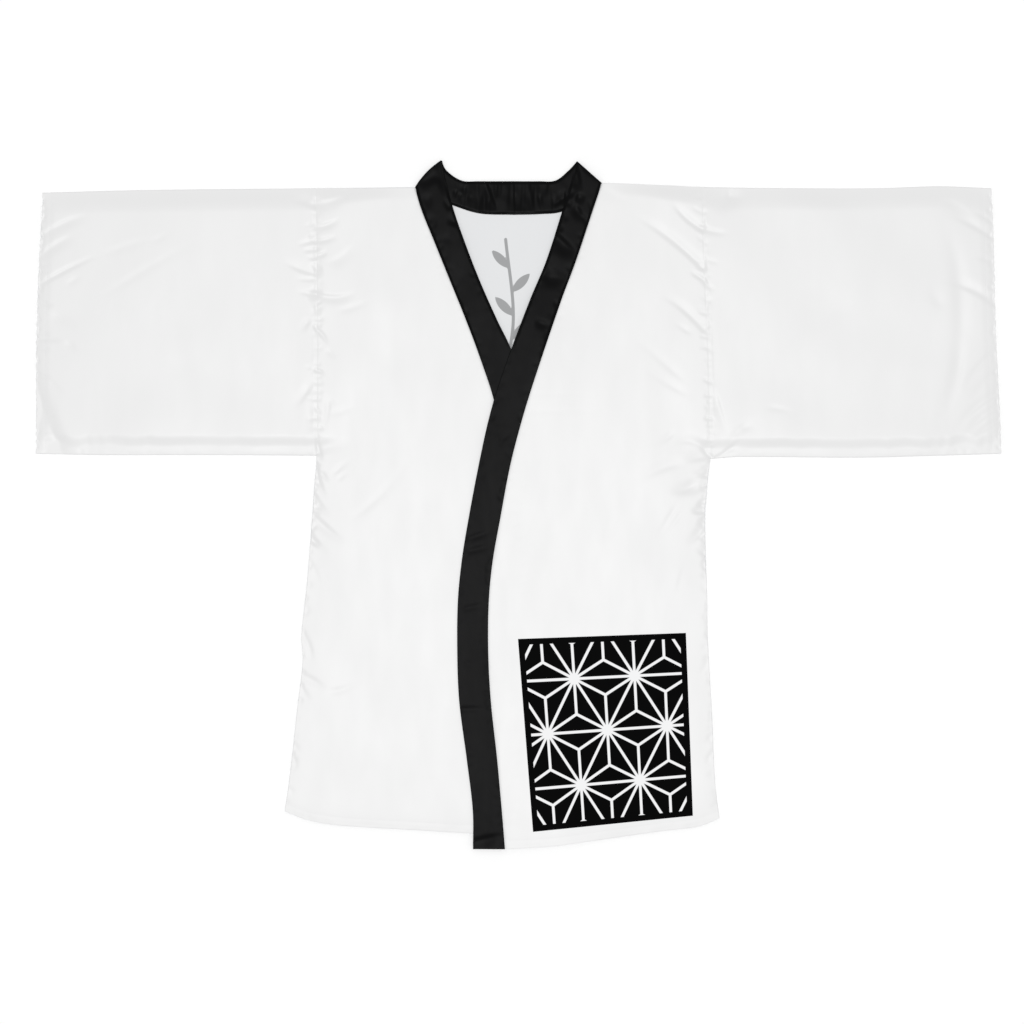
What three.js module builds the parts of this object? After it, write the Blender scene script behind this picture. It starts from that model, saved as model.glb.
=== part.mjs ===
// A kimono robe laid out flat, front side up, on the surface that it lies on.
// Millimetres. +X points to the viewer's right, which is the wearer's left, +Y to the neck
// and +Z up, out of the cloth.
// The origin is on the surface, under the middle of the laid-out robe.
import * as THREE from "three";

// Driving sizes
const clothWall = 1.2; // each panel's wall
const bandWall = 2.4; // the collar band: the cloth folded double
const seamGap = 0.3; // between pieces that are sewn together
const layerGap = 0.6; // between the upper front and the lower one that it lies on
const airUnderFront = 3.2; // how far the upper cloth stands off the lower one, away from its edges
const airByBand = 0.12; // the share of that air beside the collar band, whose weight presses the cloth down
const edgeRoll = 14; // how far in from an edge the upper cloth comes down to it
const bandPress = 120; // how far out from the band its weight is felt
const bandStep = 26; // how far from the lower band the upper front starts to rise, and to come down
const bandDescent = 104; // the distance over which it then comes down to its own level
const bandLiftAtNeck = bandWall + 2 * seamGap; // the front band lies on the back band there
const foldRadius = bandLiftAtNeck / 2; // the band's middle layer, where it turns over the shoulder
const narrowestFold = 16; // a fold's half width is at least this, so that the panels' facets can follow it
const foldFadesFrom = 0.3; // the share of a fold's length at which it starts to fade
const neckGap = 1.5 * seamGap; // up the robe, which leaves a seam's gap where the neckline slopes
// The shares of the front band's length where it starts to climb onto the back band, is up,
// and starts to lie level
const bandClimb = { start: 0.8, end: 0.88, level: 0.93 };

// Facets
const rowsUpFront = 42; // along a front and its band, from the hem to the shoulder
const columnsInFront = 14;
const ringsInSleeve = 18;
const columnsInSleeve = 20;
const columnsUnderSleeve = 8;
const ringsRoundNeck = 12;
const ringsOverShoulder = 5;
const armholeFacets = 16;
const backHemFacets = 14;
const crowding = 0.45; // how strongly facets crowd towards the edges, from 0 to 1

// Levels
const backTop = clothWall;
const frontRest = backTop + seamGap;

// Where each edge lies. x and y are in the robe's own frame.
const rightSide = [
  { y: 76, x: -313 },
  { y: 30, x: -317 },
  { y: -25, x: -321 },
  { y: -118, x: -328 },
  { y: -205, x: -337 },
  { y: -242, x: -335 },
  { y: -304, x: -342 },
  { y: -428, x: -356 },
  { y: -476, x: -363 },
];
const leftSide = [
  { y: 71, x: 298 },
  { y: 37, x: 294 },
  { y: -25, x: 290 },
  { y: -149, x: 293 },
  { y: -211, x: 294 },
  { y: -335, x: 301 },
  { y: -428, x: 305 },
  { y: -487, x: 312 },
];
const rightArmhole = [
  { y: 491, x: -314 },
  { y: 300, x: -313 },
  { y: 76, x: -313 },
];
const leftArmhole = [
  { y: 493, x: 285 },
  { y: 383, x: 288 },
  { y: 232, x: 295 },
  { y: 71, x: 298 },
];
const rightHem = [
  { x: -363, y: -476 },
  { x: -326, y: -490 },
  { x: -275, y: -498 },
  { x: -159, y: -505 },
  { x: -72, y: -510 },
  { x: 20, y: -512 },
];
const leftHem = [
  { x: -22, y: -534 },
  { x: 49, y: -530 },
  { x: 111, y: -522 },
  { x: 219, y: -507 },
  { x: 281, y: -499 },
  { x: 312, y: -487 },
];
const backHem = [
  { x: -363, y: -476 },
  { x: -275, y: -496 },
  { x: -72, y: -508 },
  { x: 111, y: -510 },
  { x: 250, y: -499 },
  { x: 312, y: -487 },
];
const shoulderLine = [
  { x: -739, y: 484 },
  { x: -587, y: 488 },
  { x: -314, y: 491 },
  { x: -161, y: 493 },
  { x: 129, y: 499 },
  { x: 219, y: 496 },
  { x: 285, y: 493 },
  { x: 420, y: 491 },
  { x: 560, y: 491 },
  { x: 653, y: 494 },
  { x: 734, y: 491 },
];
const rightSleeveUnder = [
  { x: -750, y: 79 },
  { x: -649, y: 77 },
  { x: -480, y: 77 },
  { x: -313, y: 76 },
];
const leftSleeveUnder = [
  { x: 298, y: 71 },
  { x: 343, y: 74 },
  { x: 529, y: 73 },
  { x: 653, y: 76 },
  { x: 750, y: 79 },
];
const rightCuff = [
  { y: 484, x: -739 },
  { y: 347, x: -746 },
  { y: 239, x: -749 },
  { y: 79, x: -749.5 },
];
const leftCuff = [
  { y: 491, x: 734 },
  { y: 440, x: 737 },
  { y: 363, x: 739 },
  { y: 254, x: 742 },
  { y: 130, x: 748 },
  { y: 79, x: 749.5 },
];

// The collar band's two edges, from the hem up to where it turns over the shoulder
const leftBandSeam = [
  { x: -21, y: -534.5 },
  { x: -26, y: -474 },
  { x: -33, y: -397 },
  { x: -43, y: -304 },
  { x: -47, y: -226 },
  { x: -46, y: -149 },
  { x: -40, y: -87 },
  { x: -29, y: -25 },
  { x: -13, y: 60 },
  { x: 5, y: 130 },
  { x: 24, y: 192 },
  { x: 66, y: 316 },
  { x: 89, y: 378 },
  { x: 115, y: 456 },
  { x: 129.5, y: 499 },
];
const leftBandFree = [
  { x: -70.5, y: -534.5 },
  { x: -71, y: -474 },
  { x: -80, y: -397 },
  { x: -92, y: -304 },
  { x: -95, y: -226 },
  { x: -94, y: -149 },
  { x: -88, y: -87 },
  { x: -78, y: -25 },
  { x: -62, y: 60 },
  { x: -45, y: 137 },
  { x: -25, y: 203 },
  { x: 18, y: 318 },
  { x: 43, y: 378 },
  { x: 68, y: 456 },
  { x: 91, y: 533 },
];
const rightBandSeam = [
  { x: -8, y: -512 },
  { x: 2, y: -397 },
  { x: 12, y: -304 },
  { x: 15, y: -226 },
  { x: 14, y: -149 },
  { x: 8, y: -87 },
  { x: -2, y: -25 },
  { x: -18, y: 60 },
  { x: -38, y: 161 },
  { x: -58, y: 223 },
  { x: -81, y: 285 },
  { x: -106, y: 347 },
  { x: -131, y: 409 },
  { x: -150, y: 456 },
  { x: -161, y: 492 },
];
const rightBandFree = [
  { x: 41, y: -512 },
  { x: 51, y: -397 },
  { x: 61, y: -304 },
  { x: 64, y: -226 },
  { x: 63, y: -149 },
  { x: 57, y: -87 },
  { x: 46, y: -25 },
  { x: 31, y: 60 },
  { x: 11, y: 168 },
  { x: -12, y: 242 },
  { x: -33, y: 286 },
  { x: -60, y: 347 },
  { x: -84, y: 409 },
  { x: -103, y: 465 },
  { x: -120, y: 534.5 },
];
// The same two edges across the back of the neck, from the shoulder to the seam in its middle
const centreBack = -7;
const rightNeckSeam = [
  { x: -161, y: 492 },
  { x: -135, y: 478 },
  { x: -103, y: 465 },
  { x: -60, y: 452 },
  { x: centreBack, y: 450 },
];
const rightNeckFree = [
  { x: -120, y: 534.5 },
  { x: -111, y: 518 },
  { x: -88, y: 503 },
  { x: -60, y: 502 },
  { x: centreBack, y: 502 },
];
const leftNeckSeam = [
  { x: 129.5, y: 499 },
  { x: 104, y: 474 },
  { x: 68, y: 455 },
  { x: 33, y: 451 },
  { x: centreBack, y: 450 },
];
const leftNeckFree = [
  { x: 91, y: 533 },
  { x: 77, y: 518 },
  { x: 57, y: 503 },
  { x: 30, y: 502 },
  { x: centreBack, y: 502 },
];

// The largest folds of the upper cloth: from one end to the other, how far the middle bows to the left
// of that line, the half width, and the height, which is below zero for a trough. At its start a fold has
// its full height where root is 1, as at a seam, and fades in where root is 0.
const folds = [
  { name: "right cuff, high", x1: -745, y1: 419, x2: -650, y2: 452, bow: -4, half: 11, height: -1.6, root: 1 },
  { name: "right cuff, mid", x1: -748, y1: 338, x2: -600, y2: 408, bow: -6, half: 12, height: -2.0, root: 1 },
  { name: "right sleeve, long", x1: -668, y1: 300, x2: -480, y2: 420, bow: -8, half: 16, height: -1.2, root: 0 },
  { name: "right cuff, low", x1: -748, y1: 258, x2: -670, y2: 226, bow: 3, half: 11, height: -1.4, root: 1 },
  { name: "right cuff corner", x1: -752, y1: 190, x2: -695, y2: 88, bow: 6, half: 15, height: -2.4, root: 0 },
  { name: "right sleeve, low", x1: -712, y1: 101, x2: -306, y2: 97, bow: 2, half: 10, height: -2.0, root: 0 },
  { name: "left cuff, high", x1: 746, y1: 402, x2: 662, y2: 450, bow: 4, half: 12, height: -2.0, root: 1 },
  { name: "left cuff, mid", x1: 748, y1: 306, x2: 652, y2: 347, bow: -3, half: 12, height: -2.0, root: 1 },
  { name: "left cuff, down", x1: 676, y1: 280, x2: 632, y2: 98, bow: 16, half: 14, height: -1.8, root: 0 },
  { name: "left sleeve, low", x1: 330, y1: 99, x2: 752, y2: 93, bow: -2, half: 10, height: -2.0, root: 0 },
  { name: "left underarm, out", x1: 298, y1: 71, x2: 352, y2: 112, bow: 2, half: 10, height: -2.2, root: 1 },
  { name: "left armhole, out", x1: 296, y1: 222, x2: 326, y2: 104, bow: 4, half: 10, height: -1.8, root: 0 },
  { name: "left armhole, top", x1: 222, y1: 476, x2: 345, y2: 421, bow: -12, half: 11, height: -1.8, root: 0 },
  { name: "left shoulder", x1: 292, y1: 362, x2: 160, y2: 460, bow: 4, half: 11, height: -2.3, root: 1 },
  { name: "left chest, high", x1: 296, y1: 264, x2: 210, y2: 335, bow: 3, half: 12, height: -1.5, root: 1 },
  { name: "left chest, low", x1: 272, y1: 168, x2: 168, y2: 268, bow: 5, half: 14, height: -1.2, root: 0 },
  { name: "left underarm, high", x1: 298, y1: 72, x2: 205, y2: 84, bow: 12, half: 11, height: -2.0, root: 1 },
  { name: "left underarm, mid", x1: 296, y1: 64, x2: 165, y2: 26, bow: 6, half: 13, height: -2.0, root: 1 },
  { name: "left underarm, low", x1: 293, y1: 36, x2: 196, y2: -78, bow: 6, half: 13, height: -1.8, root: 1 },
  { name: "left hip", x1: 300, y1: -280, x2: 190, y2: -358, bow: -4, half: 13, height: -1.4, root: 1 },
  { name: "right shoulder", x1: -372, y1: 382, x2: -238, y2: 424, bow: -22, half: 12, height: -1.5, root: 0 },
  { name: "right armhole", x1: -314, y1: 424, x2: -258, y2: 458, bow: -2, half: 10, height: -1.6, root: 1 },
  { name: "right chest", x1: -314, y1: 313, x2: -238, y2: 333, bow: -4, half: 11, height: -2.0, root: 1 },
  { name: "right chest, low", x1: -312, y1: 276, x2: -284, y2: 210, bow: 4, half: 10, height: -1.6, root: 0 },
  { name: "right underarm", x1: -313, y1: 74, x2: -282, y2: -12, bow: -7, half: 11, height: -2.2, root: 1 },
  { name: "right side, long", x1: -317, y1: 38, x2: -232, y2: -70, bow: -12, half: 13, height: -2.0, root: 1 },
  { name: "right hip", x1: -338, y1: -262, x2: -240, y2: -268, bow: -14, half: 11, height: -2.0, root: 1 },
  { name: "right hem", x1: -352, y1: -464, x2: -90, y2: -494, bow: -6, half: 13, height: -1.2, root: 0 },
];

// Small helpers
const mix = (a, b, t) => a + (b - a) * t;
const clamp01 = (t) => Math.min(1, Math.max(0, t));
const ease = (from, to, t) => THREE.MathUtils.smoothstep(t, from, to);

// A smooth curve through rows, read as a function of one of their two columns.
function edge(rows, key, value) {
  const sorted = [...rows].sort((a, b) => a[key] - b[key]);
  const slope = (i) => {
    const before = sorted[Math.max(i - 1, 0)];
    const after = sorted[Math.min(i + 1, sorted.length - 1)];
    return (after[value] - before[value]) / (after[key] - before[key]);
  };
  return (at) => {
    let i = 0;
    while (i < sorted.length - 2 && at > sorted[i + 1][key]) i += 1;
    const step = sorted[i + 1][key] - sorted[i][key];
    const t = clamp01((at - sorted[i][key]) / step);
    const [t2, t3] = [t * t, t * t * t];
    return (
      (2 * t3 - 3 * t2 + 1) * sorted[i][value] +
      (t3 - 2 * t2 + t) * step * slope(i) +
      (3 * t2 - 2 * t3) * sorted[i + 1][value] +
      (t3 - t2) * step * slope(i + 1)
    );
  };
}
const xOf = (rows) => edge(rows, "y", "x");
const yOf = (rows) => edge(rows, "x", "y");

const at = {
  rightSide: xOf(rightSide),
  leftSide: xOf(leftSide),
  rightArmhole: xOf(rightArmhole),
  leftArmhole: xOf(leftArmhole),
  rightCuff: xOf(rightCuff),
  leftCuff: xOf(leftCuff),
  rightBandSeam: xOf(rightBandSeam),
  rightBandFree: xOf(rightBandFree),
  leftBandSeam: xOf(leftBandSeam),
  leftBandFree: xOf(leftBandFree),
  shoulder: yOf(shoulderLine),
  rightHem: yOf(rightHem),
  leftHem: yOf(leftHem),
  rightSleeveUnder: yOf(rightSleeveUnder),
  leftSleeveUnder: yOf(leftSleeveUnder),
};

// How far up the upper cloth has come at a distance from an edge, from 0 to 1
const risen = (distance) => 1 - Math.exp(-Math.max(distance, 0) / edgeRoll);

// The height that one fold adds at a point
function foldHeight(fold, x, y) {
  const [dx, dy] = [fold.x2 - fold.x1, fold.y2 - fold.y1];
  const length = Math.hypot(dx, dy);
  const t = ((x - fold.x1) * dx + (y - fold.y1) * dy) / length ** 2;
  const inside = clamp01(t);
  const across = ((y - fold.y1) * dx - (x - fold.x1) * dy) / length - 4 * fold.bow * inside * (1 - inside);
  const past = (t - inside) * length;
  const start = fold.root ? 1 : ease(0, foldFadesFrom, inside);
  const fade = start * (1 - ease(foldFadesFrom, 1, inside));
  const half = Math.max(fold.half, narrowestFold);
  return fold.height * fade * Math.exp(-(across ** 2 + past ** 2) / half ** 2);
}

// How far the upper cloth stands off its rest level, where open is its freedom to rise, from 0 to 1
function standOff(x, y, open) {
  const relief = folds.reduce((sum, fold) => sum + foldHeight(fold, x, y), 0);
  return Math.max(0, open * (airUnderFront + relief));
}

const underarmDistance = (x, y, side, underarm) =>
  y < underarm.y ? Math.abs(x - side(y)) : Math.hypot(x - underarm.x, y - underarm.y);

// The underside of the two fronts and of each sleeve's upper layer
function rightFrontUnderside(x, y) {
  const open =
    risen(at.shoulder(x) - y) *
    risen(underarmDistance(x, y, at.rightSide, rightSide[0])) *
    risen(y - at.rightHem(x)) *
    mix(airByBand, 1, ease(0, bandPress, at.rightBandSeam(y) - x));
  return frontRest + standOff(x, y, open);
}

function leftFrontUnderside(x, y) {
  const open =
    risen(at.shoulder(x) - y) *
    risen(underarmDistance(x, y, at.leftSide, leftSide[0])) *
    risen(y - at.leftHem(x)) *
    mix(airByBand, 1, ease(0, bandPress, x - at.leftBandSeam(y)));
  const lies = frontRest + standOff(x, y, open);
  // It lies on the lower front's panel, then on that front's band, and comes down past the band's free edge.
  const [seam, free] = [at.rightBandSeam(y), at.rightBandFree(y)];
  const onBand = ease(seam - 2 * bandStep, seam - bandStep, x);
  const past = ease(free + bandStep, free + bandStep + bandDescent, x);
  const lowerTop = rightFrontUnderside(Math.min(x, free), y) + mix(clothWall, bandWall, onBand);
  return mix(Math.max(lies, lowerTop + layerGap), lies, past);
}

function sleeveUnderside(sleeve, x, y) {
  const open =
    risen(at.shoulder(x) - y) * risen(y - sleeve.under(x)) * risen(Math.abs(sleeve.cuff(y) - x));
  return frontRest + standOff(x, y, open);
}

// A closed body from triangles, turned so that its faces point out
function solid(points, triangles) {
  const tetrahedron = ([a, b, c]) => points[a].dot(points[b].clone().cross(points[c]));
  const volume = triangles.reduce((sum, triangle) => sum + tetrahedron(triangle), 0);
  const faces = volume < 0 ? triangles.map(([a, b, c]) => [a, c, b]) : triangles;
  const geometry = new THREE.BufferGeometry();
  geometry.setAttribute("position", new THREE.Float32BufferAttribute(points.flatMap((p) => p.toArray()), 3));
  geometry.setIndex(faces.flat());
  geometry.computeVertexNormals();
  return geometry;
}

// A wall between two grids of points that have the same rows and columns
function wallBetween(upper, lower) {
  const [rows, columns] = [upper.length, upper[0].length];
  const points = [...upper.flat(), ...lower.flat()];
  const up = (i, j) => i * columns + j;
  const low = (i, j) => rows * columns + up(i, j);
  const triangles = [];
  const quad = (a, b, c, d) => triangles.push([a, b, c], [a, c, d]);
  for (let i = 0; i < rows - 1; i += 1)
    for (let j = 0; j < columns - 1; j += 1) {
      quad(up(i, j), up(i, j + 1), up(i + 1, j + 1), up(i + 1, j));
      quad(low(i, j), low(i + 1, j), low(i + 1, j + 1), low(i, j + 1));
    }
  for (let i = 0; i < rows - 1; i += 1) {
    quad(up(i, 0), up(i + 1, 0), low(i + 1, 0), low(i, 0));
    quad(up(i + 1, columns - 1), up(i, columns - 1), low(i, columns - 1), low(i + 1, columns - 1));
  }
  for (let j = 0; j < columns - 1; j += 1) {
    quad(up(0, j + 1), up(0, j), low(0, j), low(0, j + 1));
    quad(up(rows - 1, j), up(rows - 1, j + 1), low(rows - 1, j + 1), low(rows - 1, j));
  }
  return solid(points, triangles);
}

// A tube's wall between its outer and inner rings, open at both ends
function tubeBetween(outer, inner) {
  const [rows, columns] = [outer.length, outer[0].length];
  const points = [...outer.flat(), ...inner.flat()];
  const out = (i, j) => i * columns + (j % columns);
  const into = (i, j) => rows * columns + out(i, j);
  const triangles = [];
  const quad = (a, b, c, d) => triangles.push([a, b, c], [a, c, d]);
  for (let i = 0; i < rows - 1; i += 1)
    for (let j = 0; j < columns; j += 1) {
      quad(out(i, j), out(i, j + 1), out(i + 1, j + 1), out(i + 1, j));
      quad(into(i, j), into(i + 1, j), into(i + 1, j + 1), into(i, j + 1));
    }
  for (let j = 0; j < columns; j += 1) {
    quad(out(0, j + 1), out(0, j), into(0, j), into(0, j + 1));
    quad(out(rows - 1, j), out(rows - 1, j + 1), into(rows - 1, j + 1), into(rows - 1, j));
  }
  return solid(points, triangles);
}

// Steps from 0 to 1, closer together towards both ends
const crowded = (t) => mix(t, 0.5 - 0.5 * Math.cos(Math.PI * t), crowding);
const steps = (count) => Array.from({ length: count + 1 }, (_, i) => crowded(i / count));

// A front: its inner edge is the band's seam, its outer edge the armhole above the side seam.
function frontPanel(edges) {
  const { side, armhole, seam, hem, underarm, neck } = edges;
  const { shoulderEnd, hemInner, hemOuter, inward, underside } = edges;
  const outer = (v) => {
    const y = mix(hemOuter.y, shoulderEnd.y, v);
    return new THREE.Vector2((y < underarm.y ? side(y) : armhole(y)) + inward * (seamGap / 2), y);
  };
  const inner = (v) => {
    const y = mix(hemInner.y, neck.y, v);
    return new THREE.Vector2(seam(y) - inward * seamGap, y);
  };
  // The hem and the shoulder, moved a little so that they meet the other two edges in the corners
  const between = (from, to, height) => (u) => {
    const x = mix(from.x, to.x, u);
    return new THREE.Vector2(x, height(x) + mix(from.y - height(from.x), to.y - height(to.x), u));
  };
  const lower = between(inner(0), outer(0), hem);
  const upper = between(inner(1), outer(1), at.shoulder);
  const blend = (u, v) => {
    const point = (axis) =>
      mix(inner(v)[axis], outer(v)[axis], u) +
      mix(lower(u)[axis], upper(u)[axis], v) -
      mix(mix(inner(0)[axis], outer(0)[axis], u), mix(inner(1)[axis], outer(1)[axis], u), v);
    return [point("x"), point("y")];
  };
  // One row is moved to the underarm, where the outer edge turns.
  const shares = steps(rowsUpFront);
  const turn = (underarm.y - hemOuter.y) / (shoulderEnd.y - hemOuter.y);
  const distances = shares.map((v) => Math.abs(v - turn));
  const nearest = distances.indexOf(Math.min(...distances));
  shares[nearest] = turn;
  const grid = (lift) =>
    shares.map((v) =>
      steps(columnsInFront).map((u) => {
        const [x, y] = blend(u, v);
        return new THREE.Vector3(x, y, underside(x, y) + lift);
      }),
    );
  return wallBetween(grid(clothWall), grid(0));
}

// An armhole's line in short steps, from the shoulder down
function armholeRows(rows) {
  const height = (i) => mix(rows[0].y, rows.at(-1).y, i / armholeFacets);
  return Array.from({ length: armholeFacets + 1 }, (_, i) => ({ y: height(i) }));
}

// The band's fold over the shoulder, seen from above, and its seam from there to the middle of the back neck
const line = (rows) => new THREE.SplineCurve(rows.map(({ x, y }) => new THREE.Vector2(x, y)));
function foldOf({ seam, free, bulge }) {
  const [from, to] = [seam.at(-1), free.at(-1)].map(({ x, y }) => new THREE.Vector2(x, y));
  const along = to.clone().sub(from).normalize();
  const outward = new THREE.Vector2(-along.y, along.x);
  if (outward.y < 0) outward.negate();
  const reach = foldRadius + bandWall / 2;
  const point = (s) => from.clone().lerp(to, s).addScaledVector(outward, 4 * bulge * s * (1 - s) - reach);
  return { point, outward };
}
function neckLine(band) {
  const points = line(band.neckSeam).getSpacedPoints(ringsRoundNeck);
  points[0] = foldOf(band).point(0);
  return points;
}
const rightBand = {
  seam: rightBandSeam,
  free: rightBandFree,
  neckSeam: rightNeckSeam,
  neckFree: rightNeckFree,
  seamAt: at.rightBandSeam,
  freeAt: at.rightBandFree,
  underside: rightFrontUnderside,
  bulge: 3.5,
  fromMiddle: -1,
};
const leftBand = {
  seam: leftBandSeam,
  free: leftBandFree,
  neckSeam: leftNeckSeam,
  neckFree: leftNeckFree,
  seamAt: at.leftBandSeam,
  freeAt: at.leftBandFree,
  underside: leftFrontUnderside,
  bulge: 0,
  fromMiddle: 1,
};

// The back: flat, with the neck cut out of its top edge
function backPanel() {
  const outline = [];
  const hem = yOf(backHem);
  for (let i = 0; i <= backHemFacets; i += 1) {
    const x = mix(rightSide.at(-1).x, leftSide.at(-1).x, i / backHemFacets);
    outline.push([x, hem(x)]);
  }
  const up = (rows, toX, inward) => rows.forEach(({ y }) => outline.push([toX(y) + inward, y]));
  up([...leftSide].reverse().slice(1, -1), at.leftSide, 0);
  up(armholeRows(leftArmhole).reverse(), at.leftArmhole, -seamGap / 2);
  const midShoulder = (leftArmhole[0].x + leftBandSeam.at(-1).x) / 2;
  outline.push([midShoulder, at.shoulder(midShoulder)]);
  const neckEdge = [...neckLine(leftBand), ...neckLine(rightBand).reverse().slice(1)];
  neckEdge.forEach(({ x, y }) => outline.push([x, y - neckGap]));
  up(armholeRows(rightArmhole), at.rightArmhole, seamGap / 2);
  up(rightSide.slice(1, -1), at.rightSide, 0);
  const shape = new THREE.Shape(outline.map(([x, y]) => new THREE.Vector2(x, y)));
  return new THREE.ExtrudeGeometry(shape, { depth: clothWall, bevelEnabled: false });
}

// A sleeve: a flattened tube with a soft fold along its top and its seam along its lower edge
function sleeveTube(sleeve) {
  const turnRadius = clothWall + seamGap / 2; // outside; the inside of the turn is half a seam's gap
  const quarters = [1, 2, 3].map((part) => (part * Math.PI) / 4);
  const outer = [];
  const inner = [];
  steps(ringsInSleeve).forEach((s) => {
    const xAt = (y) => mix(sleeve.armhole(y), sleeve.cuff(y), s) + sleeve.away * (seamGap / 2) * (1 - s);
    const put = (y, z) => new THREE.Vector3(xAt(y), y, z);
    const top = at.shoulder(xAt(leftArmhole[0].y)) - turnRadius;
    const bottom = sleeve.under(xAt(leftArmhole.at(-1).y)) + turnRadius;
    const upperY = steps(columnsInSleeve).map((t) => mix(bottom, top, t));
    const lowerY = steps(columnsUnderSleeve).map((t) => mix(top, bottom, t));
    const turned = (y, direction, radius) =>
      quarters.map((angle) => {
        const [out, up] = [radius * Math.sin(angle), radius * Math.cos(angle)];
        return put(y + direction * out, turnRadius + up);
      });
    const ring = (upperLift, lowerZ, radius) => [
      ...upperY.map((y) => put(y, sleeveUnderside(sleeve, xAt(y), y) + upperLift)),
      ...turned(top, 1, radius),
      ...lowerY.map((y) => put(y, lowerZ)),
      ...turned(bottom, -1, radius).reverse(),
    ];
    outer.push(ring(clothWall, 0, turnRadius));
    inner.push(ring(0, clothWall, seamGap / 2));
  });
  return tubeBetween(outer, inner);
}

// Half of the collar band: up one front, over the shoulder in a flat fold, and round to the back's middle
function collarBand(band) {
  const across = [0, 1 / 3, 2 / 3, 1];
  const upper = [];
  const lower = [];
  const addRing = (middle, normal) => {
    upper.push(middle.map((p) => p.clone().addScaledVector(normal, bandWall / 2)));
    lower.push(middle.map((p) => p.clone().addScaledVector(normal, -bandWall / 2)));
  };
  const fold = foldOf(band);
  // Up the front
  const along = (rows, xAt, t) => {
    const y = mix(rows[0].y, rows.at(-1).y, t);
    return new THREE.Vector2(xAt(y), y);
  };
  steps(rowsUpFront).forEach((t) => {
    const [seam, free] = [along(band.seam, band.seamAt, t), along(band.free, band.freeAt, t)];
    const middle = across.map((s) => {
      const p = t === 1 ? fold.point(s) : seam.clone().lerp(free, s);
      const climbed = bandLiftAtNeck * ease(bandClimb.start, bandClimb.end, t);
      const lies = Math.max(band.underside(p.x, p.y), climbed);
      const lift = mix(lies, bandLiftAtNeck, ease(bandClimb.level, 1, t));
      return new THREE.Vector3(p.x, p.y, lift + bandWall / 2);
    });
    addRing(middle, new THREE.Vector3(0, 0, 1));
  });
  // Over the shoulder
  for (let i = 1; i < ringsOverShoulder; i += 1) {
    const angle = (Math.PI * i) / ringsOverShoulder;
    const [sine, cosine] = [Math.sin(angle), Math.cos(angle)];
    const normal = new THREE.Vector3(fold.outward.x * sine, fold.outward.y * sine, cosine);
    const middle = across.map((s) => {
      const p = fold.point(s).addScaledVector(fold.outward, foldRadius * sine);
      return new THREE.Vector3(p.x, p.y, bandWall / 2 + foldRadius * (1 + cosine));
    });
    addRing(middle, normal);
  }
  // Across the back of the neck, on the surface
  const seamPoints = neckLine(band);
  const freePoints = line(band.neckFree).getSpacedPoints(ringsRoundNeck);
  freePoints[0] = fold.point(1);
  seamPoints.forEach((seam, i) => {
    const end = i === ringsRoundNeck ? band.fromMiddle * (seamGap / 2) : 0;
    const middle = across.map((s) => {
      const p = i === 0 ? fold.point(s) : seam.clone().lerp(freePoints[i], s);
      return new THREE.Vector3(p.x + end, p.y, bandWall / 2);
    });
    addRing(middle, new THREE.Vector3(0, 0, -1));
  });
  return wallBetween(upper, lower);
}

const satinWhite = { color: "#f2f2f3", roughness: 0.42, metalness: 0 };
const satinBlack = { color: "#171717", roughness: 0.36, metalness: 0 };

const robe = new THREE.Group();
function add(name, geometry, finish) {
  const mesh = new THREE.Mesh(geometry, new THREE.MeshStandardMaterial(finish));
  mesh.name = name;
  robe.add(mesh);
}

const rightSleeve = { armhole: at.rightArmhole, cuff: at.rightCuff, under: at.rightSleeveUnder, away: -1 };
const leftSleeve = { armhole: at.leftArmhole, cuff: at.leftCuff, under: at.leftSleeveUnder, away: 1 };

add("back_panel", backPanel(), satinWhite);
add(
  "front_right",
  frontPanel({
    side: at.rightSide,
    armhole: at.rightArmhole,
    seam: at.rightBandSeam,
    hem: at.rightHem,
    underarm: rightSide[0],
    neck: rightBandSeam.at(-1),
    shoulderEnd: rightArmhole[0],
    hemInner: rightBandSeam[0],
    hemOuter: rightSide.at(-1),
    inward: 1,
    underside: rightFrontUnderside,
  }),
  satinWhite,
);
add(
  "front_left",
  frontPanel({
    side: at.leftSide,
    armhole: at.leftArmhole,
    seam: at.leftBandSeam,
    hem: at.leftHem,
    underarm: leftSide[0],
    neck: leftBandSeam.at(-1),
    shoulderEnd: leftArmhole[0],
    hemInner: leftBandSeam[0],
    hemOuter: leftSide.at(-1),
    inward: -1,
    underside: leftFrontUnderside,
  }),
  satinWhite,
);
add("sleeve_right", sleeveTube(rightSleeve), satinWhite);
add("sleeve_left", sleeveTube(leftSleeve), satinWhite);
add("collar_right", collarBand(rightBand), satinBlack);
add("collar_left", collarBand(leftBand), satinBlack);

export default robe;
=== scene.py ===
import math
import bpy
import numpy as np
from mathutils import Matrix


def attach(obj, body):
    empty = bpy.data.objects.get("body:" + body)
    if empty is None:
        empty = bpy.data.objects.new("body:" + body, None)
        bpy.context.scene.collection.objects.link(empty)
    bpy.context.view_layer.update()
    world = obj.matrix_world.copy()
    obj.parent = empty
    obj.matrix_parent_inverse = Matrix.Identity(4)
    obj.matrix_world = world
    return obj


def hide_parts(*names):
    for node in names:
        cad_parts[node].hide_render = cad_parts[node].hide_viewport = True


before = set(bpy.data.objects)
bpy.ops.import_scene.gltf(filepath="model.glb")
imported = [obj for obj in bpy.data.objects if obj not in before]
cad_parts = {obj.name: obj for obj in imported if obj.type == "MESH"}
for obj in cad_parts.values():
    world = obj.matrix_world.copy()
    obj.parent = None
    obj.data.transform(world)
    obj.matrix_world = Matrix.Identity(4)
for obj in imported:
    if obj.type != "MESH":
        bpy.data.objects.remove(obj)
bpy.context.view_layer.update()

print("robe: frame loaded")

mm = 0.001

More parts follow.
